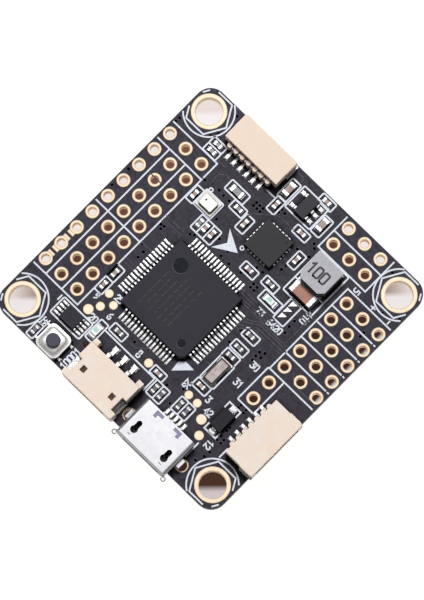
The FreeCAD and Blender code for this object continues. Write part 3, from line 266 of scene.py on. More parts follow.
def solder_material():
    """Bright solder: rounded ripples and a thin grey film in places."""
    s = Shader("solder", metal=0.4)
    tone = s.mix(s.ramp(s.noise(3, 3), 0.5, 0.75), (0.54, 0.53, 0.54), (0.26, 0.25, 0.28))
    tone = s.shaded(tone, 0.35, (0.015, 0.015, 0.018), 0.25, 0.7)
    s.put("Base Color", tone)
    s.put("Roughness", s.ramp(s.noise(6, 2), 0.3, 0.7, 0.16, 0.38))
    return s.bump(s.noise(4, 3), 0.02).mat


def moulded_material(name, base, light, grain=16, depth=0.012, rough=0.62, edge_highlight=0.5):
    """Moulded epoxy: sandy grain, a few pale filler specks, a painted highlight along its edges and
    painted shade in corners.
    """
    s = Shader(name)
    tone = s.mix(s.noise(0.8, 4), base, light)
    tone = s.mix(s.ramp(s.noise(grain, 1), 0.62, 0.8), tone, times(light, 1.9))
    # Painted highlight: lighter along convex edges.
    tone = s.edge_light_and_shade(tone, times(light, 2.2), 0.05, edge_highlight)
    s.put("Base Color", s.shaded(tone, 0.5, shine=0.2))
    sand = s.noise(grain, 2)
    s.put("Roughness", s.ramp(sand, 0.3, 0.7, rough * 0.85, rough * 1.15))
    return s.bump(sand, depth).bump(s.noise(3, 3), depth, 0.4).mat


def nylon_material():
    """Warm ivory nylon: cloudy heat tint, tanner and darker towards -X, a little light let through, and
    painted shade, warm brown, in corners and along its edges.
    """
    s = Shader("socket_nylon", rough=0.55)
    tone = s.mix(s.ramp(s.noise(0.45, 3), 0.35, 0.65), (0.815, 0.71, 0.63), (0.835, 0.69, 0.575))
    tone = s.mix(s.ramp(s.noise(0.9, 3, offset=3.0), 0.5, 0.75), tone, (0.83, 0.75, 0.68))
    tone = s.mix(s.ramp(s.noise(7, 2), 0.62, 0.8, 0.0, 0.35), tone, (0.72, 0.58, 0.44))
    tone = s.mix(s.ramp(s.place()[0], -8.0, -15.0, 0.0, 0.7), tone, (0.80, 0.648, 0.53))
    # Painted shade: warm brown in corners and gaps.
    tone = s.shaded(tone, 1.2, (0.26, 0.085, 0.035), 0.15, 0.8, 0.12)
    # Painted shade: browner along convex edges.
    tone = s.edge_light_and_shade(tone, (0.62, 0.42, 0.29), 0.07, 0.7)
    s.put("Base Color", tone)
    s.put("Subsurface Weight", 0.25)
    s.put("Subsurface Radius", (0.0006, 0.0004, 0.00025))
    s.put("Subsurface Scale", 1.0)
    return s.bump(s.noise(12, 3), 0.006).mat


def ceramic_material(name, base, dark, rough=0.5):
    """Fired ceramic: mottled body with dark pores and a chalky surface."""
    s = Shader(name, rough=rough)
    tone = s.mix(s.ramp(s.noise(1.6, 4), 0.35, 0.7), base, dark)
    tone = s.mix(s.ramp(s.cells(6), 0.0, 0.16, 0.5, 0.0), tone, times(dark, 0.5))
    s.put("Base Color", s.shaded(tone, 0.3))
    return s.bump(s.noise(8, 3), 0.012).mat


def mixed_ceramic_material():
    """Small capacitor bodies: each one a little different, from beige to reddish brown."""
    s = Shader("capacitor_body_mix", rough=0.5)
    info = s.node("NewGeometry").outputs["Random Per Island"]
    tone = s.mix(s.ramp(info, 0.0, 0.5), (0.31, 0.235, 0.225), (0.32, 0.25, 0.215))
    tone = s.mix(s.ramp(info, 0.6, 1.0), tone, (0.24, 0.135, 0.12))
    tone = s.mix(s.ramp(s.noise(2.4, 4), 0.4, 0.75, 0.0, 0.5), tone, (0.24, 0.16, 0.12))
    s.put("Base Color", s.shaded(tone, 0.4))
    return s.bump(s.noise(9, 3), 0.01).mat


def ferrite_material():
    """Ground ferrite: grey top with faint grinding lines and pits, painted shade making its sides
    near-black, and a painted highlight along its edges.
    """
    s = Shader("ground_ferrite", rough=0.48, metal=0.15)
    lines = s.noise(3, 3, stretch=(0.4, 7, 1))
    tone = s.mix(s.ramp(lines, 0.35, 0.7), (0.23, 0.225, 0.25), (0.35, 0.345, 0.375))
    tone = s.mix(s.ramp(s.cells(7), 0.0, 0.15, 0.5, 0.0), tone, (0.16, 0.15, 0.16))
    # Painted shade: sides that do not face up turn near-black.
    facing_up_for_shade = s.parts(s.node("NewGeometry").outputs["True Normal"])[2]
    tone = s.mix(s.ramp(facing_up_for_shade, 0.5, 0.9), (0.012, 0.011, 0.013), tone)
    # Painted highlight: paler along convex edges.
    tone = s.edge_light_and_shade(tone, (0.56, 0.55, 0.58), 0.06, 0.5)
    s.put("Base Color", tone)
    return s.bump(lines, 0.006).bump(s.noise(12, 2), 0.008).mat


def resin_material():
    """Coarse magnetic resin, nearly black with grey filler grains."""
    s = Shader("loaded_resin", rough=0.7)
    grains = s.ramp(s.cells(8), 0.1, 0.35, 1.0, 0.0)
    s.put("Base Color", s.mix(grains, (0.022, 0.021, 0.022), (0.07, 0.068, 0.07)))
    return s.bump(grains, 0.02).mat


def copper_material():
    """Enamelled copper wire laid in level turns."""
    s = Shader("copper_turns", rough=0.3, metal=1.0)
    turns = s.noise(2, 1, stretch=(0.1, 0.1, 4))
    s.put("Base Color", s.mix(turns, (0.75, 0.33, 0.16), (0.88, 0.48, 0.28)))
    return s.bump(turns, 0.05).mat


def glass_coat_material():
    """Black resistor glaze over its film: glossy, with shallow brush ripples."""
    s = Shader("resistor_glaze", rough=0.3, coat=0.4)
    s.put("Base Color", s.mix(s.noise(4, 3), (0.018, 0.018, 0.020), (0.04, 0.04, 0.045)))
    return s.bump(s.noise(5, 3), 0.01).mat


def lens_material():
    """Milky epoxy, a little cloudy, with small bubbles near the face."""
    s = Shader("led_epoxy", rough=0.22, coat=0.5)
    tint = s.ramp(s.noise(1.1, 2, offset=1.5), 0.42, 0.62)
    tone = s.mix(tint, (0.86, 0.88, 0.86), (0.72, 0.80, 0.77))
    tone = s.mix(s.ramp(s.cells(4), 0.0, 0.2, 0.5, 0.0), tone, (0.62, 0.64, 0.60))
    s.put("Base Color", tone)
    s.put("Subsurface Weight", 0.3)
    s.put("Subsurface Radius", (0.0005, 0.0006, 0.0005))
    return s.bump(s.noise(5, 2), 0.008).mat


def ink_material():
    """Screen-printed white ink: slightly uneven cover and a dry, rough face."""
    s = Shader("legend_ink", rough=0.6)
    tone = s.mix(s.ramp(s.noise(6, 4), 0.45, 0.8), (0.70, 0.73, 0.80), (0.50, 0.53, 0.62))
    s.put("Base Color", tone)
    return s.bump(s.noise(18, 2), 0.006).mat


def rubbed_material(name, base, light):
    """Satin button plastic with fine scuffs."""
    s = Shader(name, rough=0.42)
    tone = s.mix(s.noise(1.4, 4), base, light)
    scuffs = s.noise(4, 3, stretch=(1, 6, 1), turn=35)
    tone = s.mix(s.ramp(scuffs, 0.6, 0.75, 0.0, 0.4), tone, light)
    s.put("Base Color", tone)
    s.put("Specular IOR Level", 0.22)
    return s.bump(s.noise(14, 2), 0.006).mat


BRUSHED = {"grain": 5, "stretch": (0.3, 6, 1)}
M = {
    "laminate": laminate_material(),
    "solder_mask": mask_material("mask_resist", (0.0145, 0.0118, 0.0215), (0.024, 0.020, 0.033)),
    "gold_plating": gold_material(),
    "tinned_metal": solder_material(),
    "contact_metal": metal_material(
        "contact_alloy", (0.74, 0.73, 0.715), (0.57, 0.555, 0.54), 0.3, 6, metal=0.35
    ),
    "package_black": moulded_material("package_mould", (0.0145, 0.0138, 0.0215), (0.0235, 0.0222, 0.034)),
    "sensor_black": moulded_material("sensor_mould", (0.022, 0.021, 0.025), (0.032, 0.031, 0.036), 20),
    "sensor_lid": metal_material("sensor_lid_metal", (0.38, 0.375, 0.37), (0.25, 0.245, 0.24), 0.36, 9),
    "sensor_base": ceramic_material("sensor_carrier", (0.76, 0.73, 0.67), (0.62, 0.58, 0.50)),
    "silicon": metal_material("polished_die", (0.30, 0.30, 0.40), (0.22, 0.25, 0.36), 0.2, 3),
    "crystal_ceramic": ceramic_material("crystal_base", (0.060, 0.050, 0.045), (0.035, 0.030, 0.028)),
    "crystal_metal": metal_material(
        "crystal_lid_metal", (0.26, 0.215, 0.21), (0.14, 0.115, 0.11), 0.34, **BRUSHED
    ),
    "ferrite": ferrite_material(),
    "magnetic_resin": resin_material(),
    "copper_wire": copper_material(),
    "capacitor_brown": ceramic_material("large_capacitor", (0.375, 0.138, 0.088), (0.275, 0.104, 0.068)),
    "capacitor_beige": mixed_ceramic_material(),
    "alumina": ceramic_material("alumina", (0.70, 0.70, 0.69), (0.55, 0.55, 0.54)),
    "resistor_glass": glass_coat_material(),
    "led_carrier": ceramic_material("led_carrier", (0.72, 0.74, 0.66), (0.60, 0.62, 0.54)),
    "led_epoxy": lens_material(),
    "socket_nylon": nylon_material(),
    "usb_steel": usb_steel_material(),
    "usb_plastic": moulded_material("usb_tongue", (0.03, 0.03, 0.034), (0.045, 0.045, 0.05)),
    "button_cover_steel": metal_material(
        "cover_steel", (0.68, 0.67, 0.66), (0.58, 0.57, 0.56), 0.42, **BRUSHED
    ),
    "button_plastic": moulded_material("button_base_mould", (0.03, 0.03, 0.033), (0.045, 0.045, 0.048)),
    "button_plunger_plastic": rubbed_material(
        "plunger_plastic", (0.024, 0.025, 0.045), (0.042, 0.043, 0.070)
    ),
    "spring_steel": metal_material("dome_steel", (0.82, 0.80, 0.76), (0.70, 0.68, 0.64), 0.25, 8),
}
# Two small packages are a little darker and a little paler than the other black mouldings.
OWN_TONE = {
    "diode_body": moulded_material("diode_mould", (0.0075, 0.0072, 0.011), (0.0125, 0.012, 0.018)),
    "regulator_body": moulded_material("regulator_mould", (0.025, 0.0245, 0.031), (0.038, 0.037, 0.046)),
}
SLOT_OF = {s["node"]: s["material_slot"] for s in frame["record"]["subparts"]}
for node, thing in frame["nodes"].items():
    thing.data.materials.clear()
    thing.data.materials.append(OWN_TONE.get(node, M[SLOT_OF[node]]))


# ---- Mesh helpers ----


SHARP_ANGLE = math.radians(50)
LEAST_MITRE = 0.45


class Builder:
    """Collects closed solids, in millimetres, for one piece."""

    def __init__(self):
        self.verts, self.faces = [], []

    def loft(self, rings, closed=False):
        """Solid through rings of equal length, capped, or joined back from last to first."""
        count, levels = len(rings[0]), len(rings)
        faces = []
        for level in range(levels if closed else levels - 1):
            low, high = level * count, (level + 1) % levels * count
            for i in range(count):
                j = (i + 1) % count
                faces.append([low + i, low + j, high + j, high + i])
        if not closed:
            faces.append(list(range(count))[::-1])
            faces.append([(levels - 1) * count + i for i in range(count)])
        start = len(self.verts)
        self.verts += [v for ring in rings for v in ring]
        self.faces += [[start + i for i in face] for face in faces]

    def strip(self, points, width, z, high, closed=False):
        """A flat raised line with mitred corners."""
        places = [Vector(point) for point in points]
        last = len(places) - 1
        sections = []
        for i, here in enumerate(places):
            ways = []
            if i > 0 or closed:
                ways.append((here - places[i - 1]).normalized())
            if i < last or closed:
                ways.append((places[(i + 1) % len(places)] - here).normalized())
            mean = sum(ways, Vector((0, 0)))
            mean = mean.normalized() if mean.length > 1e-6 else ways[0]
            mitre = width / 2 / max(LEAST_MITRE, mean.dot(ways[0]))
            shift = Vector((-mean.y, mean.x)) * mitre
            if not closed and i in (0, last):
                here = here + ways[0] * (width / 2 if i else -width / 2)
            left, right = here + shift, here - shift
            sections.append([(*left, z), (*right, z), (*right, z + high), (*left, z + high)])
        self.loft(sections, closed)

    def make(self, name, material, slot=None, smooth=False):
        """Makes the piece, riding on the board."""
        mesh = bpy.data.meshes.new(name)
        mesh.from_pydata([times(v, MM) for v in self.verts], [], self.faces)
        mesh.materials.append(material)
        thing = bpy.data.objects.new(name, mesh)
        bpy.context.scene.collection.objects.link(thing)
        mesh.validate()
        normals_out(mesh)
        if smooth:
            mesh.polygons.foreach_set("use_smooth", [True] * len(mesh.polygons))
            mesh.set_sharp_from_angle(angle=SHARP_ANGLE)
        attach(thing, BOARD)
        return thing


def normals_out(mesh):
    """Turns every face of a mesh outwards."""
    work = bmesh.new()
    work.from_mesh(mesh)
    bmesh.ops.recalc_face_normals(work, faces=work.faces)
    work.to_mesh(mesh)
    work.free()


def arc(x, y, radius, start, end, steps):
    """Points on a circle between two angles in degrees."""
    angles = [math.radians(start + (end - start) * i / steps) for i in range(steps + 1)]
    return [(x + radius * math.cos(a), y + radius * math.sin(a)) for a in angles]


def circle(x, y, radius, steps=48):
    """Points round a whole circle."""
    return arc(x, y, radius, 0, 360 * (1 - 1 / steps), steps - 1)


def rounded(x, y, size_x, size_y, corner, steps=4):
    """Outline of a rectangle with rounded corners."""
    corner = min(corner, size_x / 2 - 1e-4, size_y / 2 - 1e-4)
    points = []
    for sign_x, sign_y, start in ((1, 1, 0), (-1, 1, 90), (-1, -1, 180), (1, -1, 270)):
        centre_x = x + sign_x * (size_x / 2 - corner)
        centre_y = y + sign_y * (size_y / 2 - corner)
        points += arc(centre_x, centre_y, corner, start, start + 90, steps)
    return points


def at_z(points, z):
    """Flat points lifted to one height."""
    return [(x, y, z) for x, y in points]


def islands(node):
    """Lowest and highest corners, in millimetres, of each separate solid in a CAD node."""
    mesh = frame["nodes"][node].data
    key_of = [tuple(round(c / MM, 4) for c in v.co) for v in mesh.vertices]
    parent = {key: key for key in key_of}

    def root(key):
        """The point that stands for the whole solid."""
        while parent[key] != key:
            parent[key] = parent[parent[key]]
            key = parent[key]
        return key

    for polygon in mesh.polygons:
        first = root(key_of[polygon.vertices[0]])
        for index in polygon.vertices[1:]:
            parent[root(key_of[index])] = first
    groups = {}
    for key in parent:
        groups.setdefault(root(key), []).append(key)
    boxes = []
    for points in groups.values():
        low = Vector([min(p[i] for p in points) for i in range(3)])
        high = Vector([max(p[i] for p in points) for i in range(3)])
        boxes.append((low, high))
    return sorted(boxes, key=lambda b: (round(b[0].x, 3), round(b[0].y, 3)))


# ---- Printed legend ----

INK_HIGH = 0.018
INK_STEP, INK_LEVELS = 0.001, 5
LINE = 0.19
FRAME_CORNER = 0.16
BOARD_CORNER, EDGE_MARGIN = 2.0, 0.15
MOUNT_CIRCLE, MOUNT_HEXAGON = 3.0, 2.75
DOT_R, DOT_LINE = 0.22, 0.16
legend = Builder()
printed = itertools.count(1)


def ink(points, closed=False, width=LINE):
    """One printed line. Its level differs from the last one's, so that crossings stay clean."""
    level = INK_STEP * (next(printed) % INK_LEVELS)
    legend.strip(points, width, MASK_Z, INK_HIGH + level, closed)


def ink_frame(x0, y0, x1, y1):
    """A rounded rectangle between two corners."""
    size_x, size_y = x1 - x0, y1 - y0
    ink(rounded(x0 + size_x / 2, y0 + size_y / 2, size_x, size_y, FRAME_CORNER, 3), closed=True)


# Frames round the soldered parts, as two opposite corners.
FRAMES = (
    (3.9, 5.5, 7.4, 7.65), (-5.1, 3.85, -3.7, 6.6), (10.55, -7.15, 13.3, -6.0),
    (-6.4, 6.7, -3.3, 8.3), (-6.2, -7.4, -4.15, -4.3), (-10.05, -5.9, -8.9, -3.9),
    (-11.5, -7.75, -10.1, -4.9), (-6.35, 2.85, -5.2, 4.9), (-0.5, 5.45, 0.65, 7.5),
    (1.35, 5.45, 2.5, 7.5), (2.75, 5.45, 3.9, 7.5), (10.4, 6.72, 12.35, 7.85),
    (10.4, 5.65, 12.35, 6.72), (11.05, 3.36, 13.0, 4.4), (11.05, 2.3, 13.0, 3.36),
    (9.7, -5.75, 10.85, -3.65), (15.8, -12.25, 17.75, -11.25), (-13.65, -12.75, -12.65, -10.75),
    (-12.65, -12.75, -11.6, -10.75), (-9.8, -3.75, -7.7, -2.5), (-10.95, 3.5, -8.85, 4.65),
    (-13.05, 1.25, -11.95, 3.3), (-17.7, 0.85, -16.55, 2.9), (-13.85, -2.7, -11.8, -1.5),
    (-5.85, -0.05, -4.7, 2.05), (-8.25, -10.2, -6.2, -9.1), (7.5, 5.45, 8.7, 7.5),
    (9.95, 0.95, 11.05, 2.85), (-16.0, 2.72, -13.5, 4.05), (-16.45, -2.9, -13.8, -1.55),
    (-16.75, -1.3, -13.45, 2.6), (4.7, -10.3, 6.65, -9.15), (6.65, -10.3, 8.6, -9.15),
    (-12.65, 5.25, -6.45, 9.75), (-8.65, -9.1, -6.35, -6.4), (11.7, -12.0, 14.05, -7.4),
    (1.15, 10.38, 6.2, 12.9),
)
for box in FRAMES:
    ink_frame(*box)
# Boxes and dividers round the header holes, and brackets beside the sockets.
LINES = (
    ((-6.2, -6.45), (-4.15, -6.45)), ((-6.2, -5.45), (-4.15, -5.45)),
    ((-8.45, 5.25), (-8.45, 9.75)), ((-11.55, -17.3), (-11.55, -10.3), (-9.35, -10.3)),
    ((-9.0, -10.3), (11.3, -10.3), (11.3, -17.3)), ((-8.95, -17.3), (-8.95, -10.3)),
    ((1.15, -17.3), (1.15, -10.3)), ((-8.95, -12.87), (11.3, -12.87)),
    ((-8.95, -15.42), (11.3, -15.42)), ((-11.65, 17.3), (-11.65, 10.55), (1.15, 10.55)),
    ((1.15, 17.3), (1.15, 10.55)), ((-9.05, 16.9), (-9.05, 10.55)), ((-6.5, 16.9), (-6.5, 10.55)),
    ((-4.0, 16.9), (-4.0, 10.55)), ((-1.45, 16.9), (-1.45, 10.55)),
    ((-17.5, 12.2), (-12.8, 12.2), (-12.8, 4.7), (-17.5, 4.7)), ((-15.4, 12.2), (-15.4, 4.7)),
    ((13.0, 2.0), (11.2, 2.0), (11.2, -5.9)), ((13.0, 10.75), (15.0, 10.75)),
    ((-13.35, -2.9), (-13.35, -4.1)), ((11.15, 13.6), (12.4, 13.6)),
    ((11.8, -12.35), (12.4, -12.35)), ((7.85, 10.0), (7.1, 10.0), (7.1, 11.75), (7.85, 11.75)),
    ((10.5, 10.0), (11.25, 10.0), (11.25, 11.75), (10.5, 11.75)),
)
for line in LINES:
    ink(line)
# The dividers' ends beyond the holes, and the two round marks.
for x in (-9.05, -6.5, -4.0, -1.45):
    ink([(x, 17.25), (x, 17.35)])
for x, y in ((-6.55, -1.4), (-8.88, -8.68)):
    ink(circle(x, y, DOT_R, 20), closed=True, width=DOT_LINE)


def inside_board(x, y):
    """Whether a point lies within the board's rounded outline, less a margin."""
    past_x = max(0.0, abs(x) - (BOARD_MAX.x - BOARD_CORNER))
    past_y = max(0.0, abs(y) - (BOARD_MAX.y - BOARD_CORNER))
    return math.hypot(past_x, past_y) < BOARD_CORNER - EDGE_MARGIN


def ink_clipped(points):
    """A closed outline that leaves the board somewhere, printed only where it lies on it."""
    start = next(i for i, point in enumerate(points) if not inside_board(*point))
    run = []
    for point in points[start:] + points[: start + 1]:
        if inside_board(*point):
            run.append(point)
            continue
        if len(run) > 1:
            ink(run)
        run = []


def hexagon(x, y, radius, parts=4):
    """Points along the sides of a hexagon with a corner on the Y axis."""
    corners = arc(x, y, radius, 90, 390, 5)
    points = []
    for (x0, y0), (x1, y1) in zip(corners, corners[1:] + corners[:1]):
        points += [(x0 + (x1 - x0) * i / parts, y0 + (y1 - y0) * i / parts) for i in range(parts)]
    return points


for low, high in islands("mounting_hole_plating"):
    x, y = ((low + high) / 2).xy
    ink_clipped(circle(x, y, MOUNT_CIRCLE, 96))
    ink_clipped(hexagon(x, y, MOUNT_HEXAGON))
# The two solid arrow heads.
for outline in (
    ((-5.8, -1.35), (-7.2, -4.0), (-5.8, -3.05), (-4.15, -4.05)),
    ((7.35, 4.55), (9.2, 2.7), (7.9, 2.55), (7.3, 3.2)),
):
    legend.loft([at_z(outline, MASK_Z), at_z(outline, MASK_Z + INK_HIGH)])

# Digits as pen strokes in a cell 0.6 wide and 1 high.
CELL_WIDE = 0.6
GLYPH_WIDE = 0.52
ADVANCE = 0.74
STROKES = {
    "0": [(
        (0.1, 0), (0.5, 0), (0.6, 0.12), (0.6, 0.88), (0.5, 1), (0.1, 1), (0, 0.88), (0, 0.12),
        (0.1, 0),
    )],
    "1": [((0.1, 0.8), (0.35, 1), (0.35, 0))],
    "2": [((0, 0.82), (0.12, 1), (0.48, 1), (0.6, 0.85), (0.6, 0.62), (0, 0), (0.6, 0))],
    "3": [(
        (0, 1), (0.6, 1), (0.3, 0.6), (0.6, 0.42), (0.58, 0.12), (0.4, 0), (0.12, 0), (0, 0.12),
    )],
    "4": [((0.45, 0), (0.45, 1), (0, 0.32), (0.62, 0.32))],
    "5": [(
        (0.58, 1), (0.05, 1), (0.02, 0.58), (0.42, 0.58), (0.6, 0.42), (0.58, 0.12), (0.42, 0),
        (0, 0),
    )],
    "6": [(
        (0.5, 1), (0.12, 0.7), (0, 0.35), (0.1, 0), (0.5, 0), (0.6, 0.15), (0.58, 0.42),
        (0.1, 0.48),
    )],
    "7": [((0, 1), (0.6, 1), (0.2, 0))],
    "8": [(
        (0.3, 0.54), (0.06, 0.72), (0.12, 1), (0.48, 1), (0.54, 0.72), (0.3, 0.54), (0, 0.3),
        (0.08, 0), (0.52, 0), (0.6, 0.3), (0.3, 0.54),
    )],
    "9": [(
        (0.1, 0), (0.48, 0.3), (0.6, 0.65), (0.5, 1), (0.1, 1), (0, 0.85), (0.02, 0.58),
        (0.55, 0.52),
    )],
    "-": [((0, 0.5), (0.55, 0.5))],
    "+": [((0, 0.5), (0.6, 0.5)), ((0.3, 0.2), (0.3, 0.8))],
}


def strokes(text, x, y, high, turn):
    """Pen strokes of plain digits centred on a point and turned about it, in degrees."""
    span = (len(text) - 1) * ADVANCE + GLYPH_WIDE
    c, s = math.cos(math.radians(turn)), math.sin(math.radians(turn))
    lines = []
    for index, digit in enumerate(text):
        start = index * ADVANCE - span / 2
        for stroke in STROKES[digit]:
            line = []
            for across, up in stroke:
                u = (start + across * GLYPH_WIDE / CELL_WIDE) * high
                v = (up - 0.5) * high
                line.append((x + u * c - v * s, y + u * s + v * c))
            lines.append(line)
    return lines


# Generic digits in place of the board's lettering: text, middle, height and turn.
LABEL_LINE = 0.17
LABELS = (
    ("-", -12.1, 16.6, 0.85, 0), ("+", -12.1, 14.15, 0.85, 0), ("5", -12.15, 11.5, 0.75, 0),
    ("410", -5.9, 9.5, 0.75, 0), ("6420", -2.65, 7.6, 0.72, 90), ("73", -2.75, 5.25, 0.72, 90),
    ("30", 2.2, 9.2, 0.75, 90), ("31", 4.9, 9.2, 0.75, 90), ("12", 12.3, 11.75, 0.75, 0),
    ("42", 9.65, 9.1, 0.75, 90), ("3", 8.6, 8.1, 0.75, 90), ("26", 9.05, 5.1, 0.75, 0),
    ("8", 10.4, -1.25, 0.85, 90), ("6", 9.65, -6.7, 0.75, 90), ("25", 7.5, -7.3, 0.7, 90),
    ("9", 9.05, -9.4, 0.7, 90), ("20", 11.15, -7.9, 0.75, 90), ("10001", 16.3, -6.5, 0.78, 180),
    ("35", 15.3, -11.6, 0.7, 0),
)
for label in LABELS:
    for line in strokes(*label):
        ink(line, width=LABEL_LINE)
legend.make("printed_legend", ink_material())


# ---- Tracks and vias under the mask ----

# Tracks as runs of points in X and Y.
TRACK_WIDE, TRACK_HIGH, TRACK_SUNK = 0.16, 0.028, 0.004
TRACKS = (
    ((-1.95, 10.2), (-1.95, 6.2), (-1.3, 5.3), (-1.05, 4.6)),
    ((-1.65, 10.2), (-1.65, 6.3), (-0.8, 5.1), (-0.55, 4.6)),
    ((-1.2, 10.2), (-1.2, 6.4), (-0.3, 5.0), (-0.05, 4.6)),
    ((-0.8, 10.2), (-0.8, 6.1), (0.2, 5.0), (0.45, 4.6)), ((-3.2, 7.0), (-3.2, 2.0)),
    ((-2.8, 7.0), (-2.8, 2.2)), ((-2.4, 6.9), (-2.4, 2.4)), ((-2.1, 6.8), (-2.1, 3.0)),
    ((-12.2, 1.2), (-12.2, -0.9), (-10.3, -3.3), (-9.6, -3.6)), ((-3.2, -7.5), (-3.2, -10.2)),
    ((-2.7, -7.5), (-2.7, -10.2)), ((-2.4, -7.5), (-2.4, -10.2)), ((1.0, -8.6), (1.0, -10.1)),
    ((3.5, -8.6), (3.5, -10.1)), ((4.0, -8.6), (4.0, -10.1)), ((-6.0, 9.85), (-2.3, 9.85)),
    ((-7.25, -4.25), (-7.25, -1.9), (-6.6, -0.9)),
    ((-9.4, -9.2), (-10.7, -9.4), (-11.3, -8.8), (-11.3, -8.0)),
    ((9.3, -1.0), (10.2, -2.0), (10.2, -3.4)), ((-16.6, -1.9), (-17.3, -1.9), (-17.3, -3.0)),
    ((-5.4, -13.0), (-5.4, -15.2)), ((-0.3, 12.9), (0.6, 13.8), (0.6, 16.9)),
    ((5.6, 4.6), (5.6, 5.3)), ((-11.9, -9.4), (-11.9, -10.6)),
)
RELIEF = mask_material("mask_over_copper", (0.042, 0.037, 0.050), (0.06, 0.054, 0.07))
tracks = Builder()
for index, line in enumerate(TRACKS):
    tracks.strip(line, TRACK_WIDE, MASK_Z - TRACK_SUNK, TRACK_HIGH + INK_STEP * (index % 3))
tracks.make("track_relief", RELIEF, slot="solder_mask", smooth=True)

# Filled vias: a low ring of mask, as radius and height, round a near-black disc of painted shade in place
# of a dark well.
VIA_RING = ((0.29, -0.004), (0.26, 0.016), (0.21, 0.018), (0.18, 0.006), (0.18, -0.004))
VIA_SHADE_R, VIA_SHADE_Z = 0.182, (-0.003, 0.0025)
VIAS = (
    (-11.5, -2.9), (-11.0, -2.9), (-11.5, -3.4), (-11.0, -3.4), (-11.5, -3.9), (-11.0, -3.9),
    (-12.3, 4.55), (-12.7, 4.15), (-11.2, 4.8), (-10.9, 3.2), (-8.65, 3.65), (-7.95, 3.55),
    (-12.85, -0.7), (-12.95, -1.25), (-12.45, -1.3), (-17.3, -1.95), (-6.2, 2.25), (-6.1, 1.4),
    (-4.5, 2.45), (-4.0, 2.45), (-4.5, 3.0), (-4.0, 3.0), (-4.4, 0.5), (-4.2, -1.2), (-4.2, -2.5),
    (-5.1, -2.3), (-5.5, -4.0), (-7.25, -4.25), (-6.9, -5.85), (-9.4, -6.3), (-9.4, -7.2),
    (-9.5, -8.0), (-9.5, -9.15), (-10.7, -9.4), (-9.2, -10.0), (-17.1, -12.55), (-14.2, -12.65),
    (-13.35, -13.15), (-13.05, -17.05), (-12.35, -17.15), (-11.75, -17.2), (-3.8, -6.35),
    (-3.5, -6.8), (-2.1, -9.55), (-1.6, -9.65), (-2.0, -10.0), (1.1, -9.9), (1.7, -9.2),
    (2.55, -9.2), (0.3, 9.0), (1.0, 9.0), (0.65, 8.45), (1.25, 8.45), (1.85, 8.5), (-4.7, 8.8),
    (-3.85, 8.8), (-3.0, 8.95), (-9.3, 15.4), (-8.7, 15.4), (-12.3, 15.9), (-12.4, 15.3),
    (-16.55, 12.9), (-13.3, 17.2), (6.45, 11.2), (6.9, 11.2), (6.45, 12.0), (6.9, 12.0),
    (9.2, 12.1), (9.7, 12.1), (10.7, 12.6), (11.2, 12.6), (10.6, 12.05), (11.2, 12.0),
    (12.8, 12.4), (13.6, 12.3), (14.6, 11.9), (0.3, 5.1), (2.2, 5.15), (9.75, 5.2), (12.0, 5.25),
    (10.75, 3.5), (9.8, -2.6), (-4.0, -17.2), (-1.35, -17.25),
)
rings, via_shades = Builder(), Builder()
for x, y in VIAS:
    section = [at_z(circle(x, y, radius, 20), MASK_Z + z) for radius, z in VIA_RING]
    rings.loft(section, closed=True)
    via_shades.loft([at_z(circle(x, y, VIA_SHADE_R, 16), MASK_Z + z) for z in VIA_SHADE_Z])
rings.make("via_rings", RELIEF, slot="solder_mask", smooth=True)
# Painted shade: a near-black disc whose reflection is all but turned off by its low IOR.
VIA_SHADE_MATERIAL = moulded_material("via_painted_shade", (0.0005, 0.0005, 0.0006), (0.001, 0.001, 0.001), edge_highlight=0.0)
VIA_SHADE_MATERIAL.node_tree.nodes["Principled BSDF"].inputs["IOR"].default_value = 1.02
via_shades.make("via_shade_discs", VIA_SHADE_MATERIAL, slot="laminate")


# ---- Solder ----

# A mound's section, as its inset and height in shares of the land's width and of its rise.
MOUND = ((0.0, 0.0), (0.02, 0.35), (0.09, 0.75), (0.2, 0.95), (0.32, 1.0))
# A fillet's section, as shares of its reach and of its rise.
FILLET = ((0, 0), (1, 0), (0.72, 0.10), (0.42, 0.26), (0.18, 0.55), (0, 0.9))
MOUND_SUNK, FILLET_SUNK = 0.004, 0.003
NARROW_LAND, LOW_MOUND, HIGH_MOUND = 0.5, 0.06, 0.1
TALL_CAP, SHORT_REACH, LONG_REACH, CLIMB = 1.2, 0.13, 0.2, 0.8
CHIP_LAND_NEAR = 0.45
solder = Builder()


def pillow(low, high, rise):
    """A low rounded mound over one land."""
    middle = (low + high) / 2
    size_x, size_y = high.x - low.x, high.y - low.y
    least = min(size_x, size_y)
    rings = []
    for inset, level in MOUND:
        size = (size_x - inset * least, size_y - inset * least)
        shape = rounded(middle.x, middle.y, *size, least * 0.3, 3)
        rings.append(at_z(shape, LAND_Z - MOUND_SUNK + rise * level))
    solder.loft(rings)


def fillet(low, high, way, reach, rise):
    """Concave solder from an end cap down to the edge of its land."""
    side = Vector((-way[1], way[0]))
    middle = Vector(((low.x + high.x) / 2, (low.y + high.y) / 2))
    half_long = (high.x - low.x) / 2 if way[0] else (high.y - low.y) / 2
    half_wide = (high.y - low.y) / 2 if way[0] else (high.x - low.x) / 2
    out = Vector(way)
    foot = middle + out * (half_long - 0.01)
    ends = []
    for sign in (-1, 1):
        ends.append([])
        for u, v in FILLET:
            spread = sign * half_wide * (1.06 - 0.06 * v)
            place = foot + out * reach * u + side * spread
            ends[-1].append((*place, LAND_Z - FILLET_SUNK + v * rise))
    solder.loft(ends)


def fillets():
    """A fillet at the outer face of every end cap; gives back the middles of the caps."""
    middles = []
    for part in ("capacitor", "resistor", "power_capacitor", "led"):
        boxes = islands(f"{part}_terminals")
        for low, high in boxes:
            here = (low + high) / 2
            others = [(l + h) / 2 for l, h in boxes if (l, h) != (low, high)]
            partner = min(others, key=lambda p: (p - here).length)
            way = (here - partner).normalized()
            tall = high.z - low.z
            reach = SHORT_REACH if tall < TALL_CAP else LONG_REACH
            fillet(low, high, (round(way.x), round(way.y)), reach, tall * CLIMB)
            middles.append(here)
    return middles


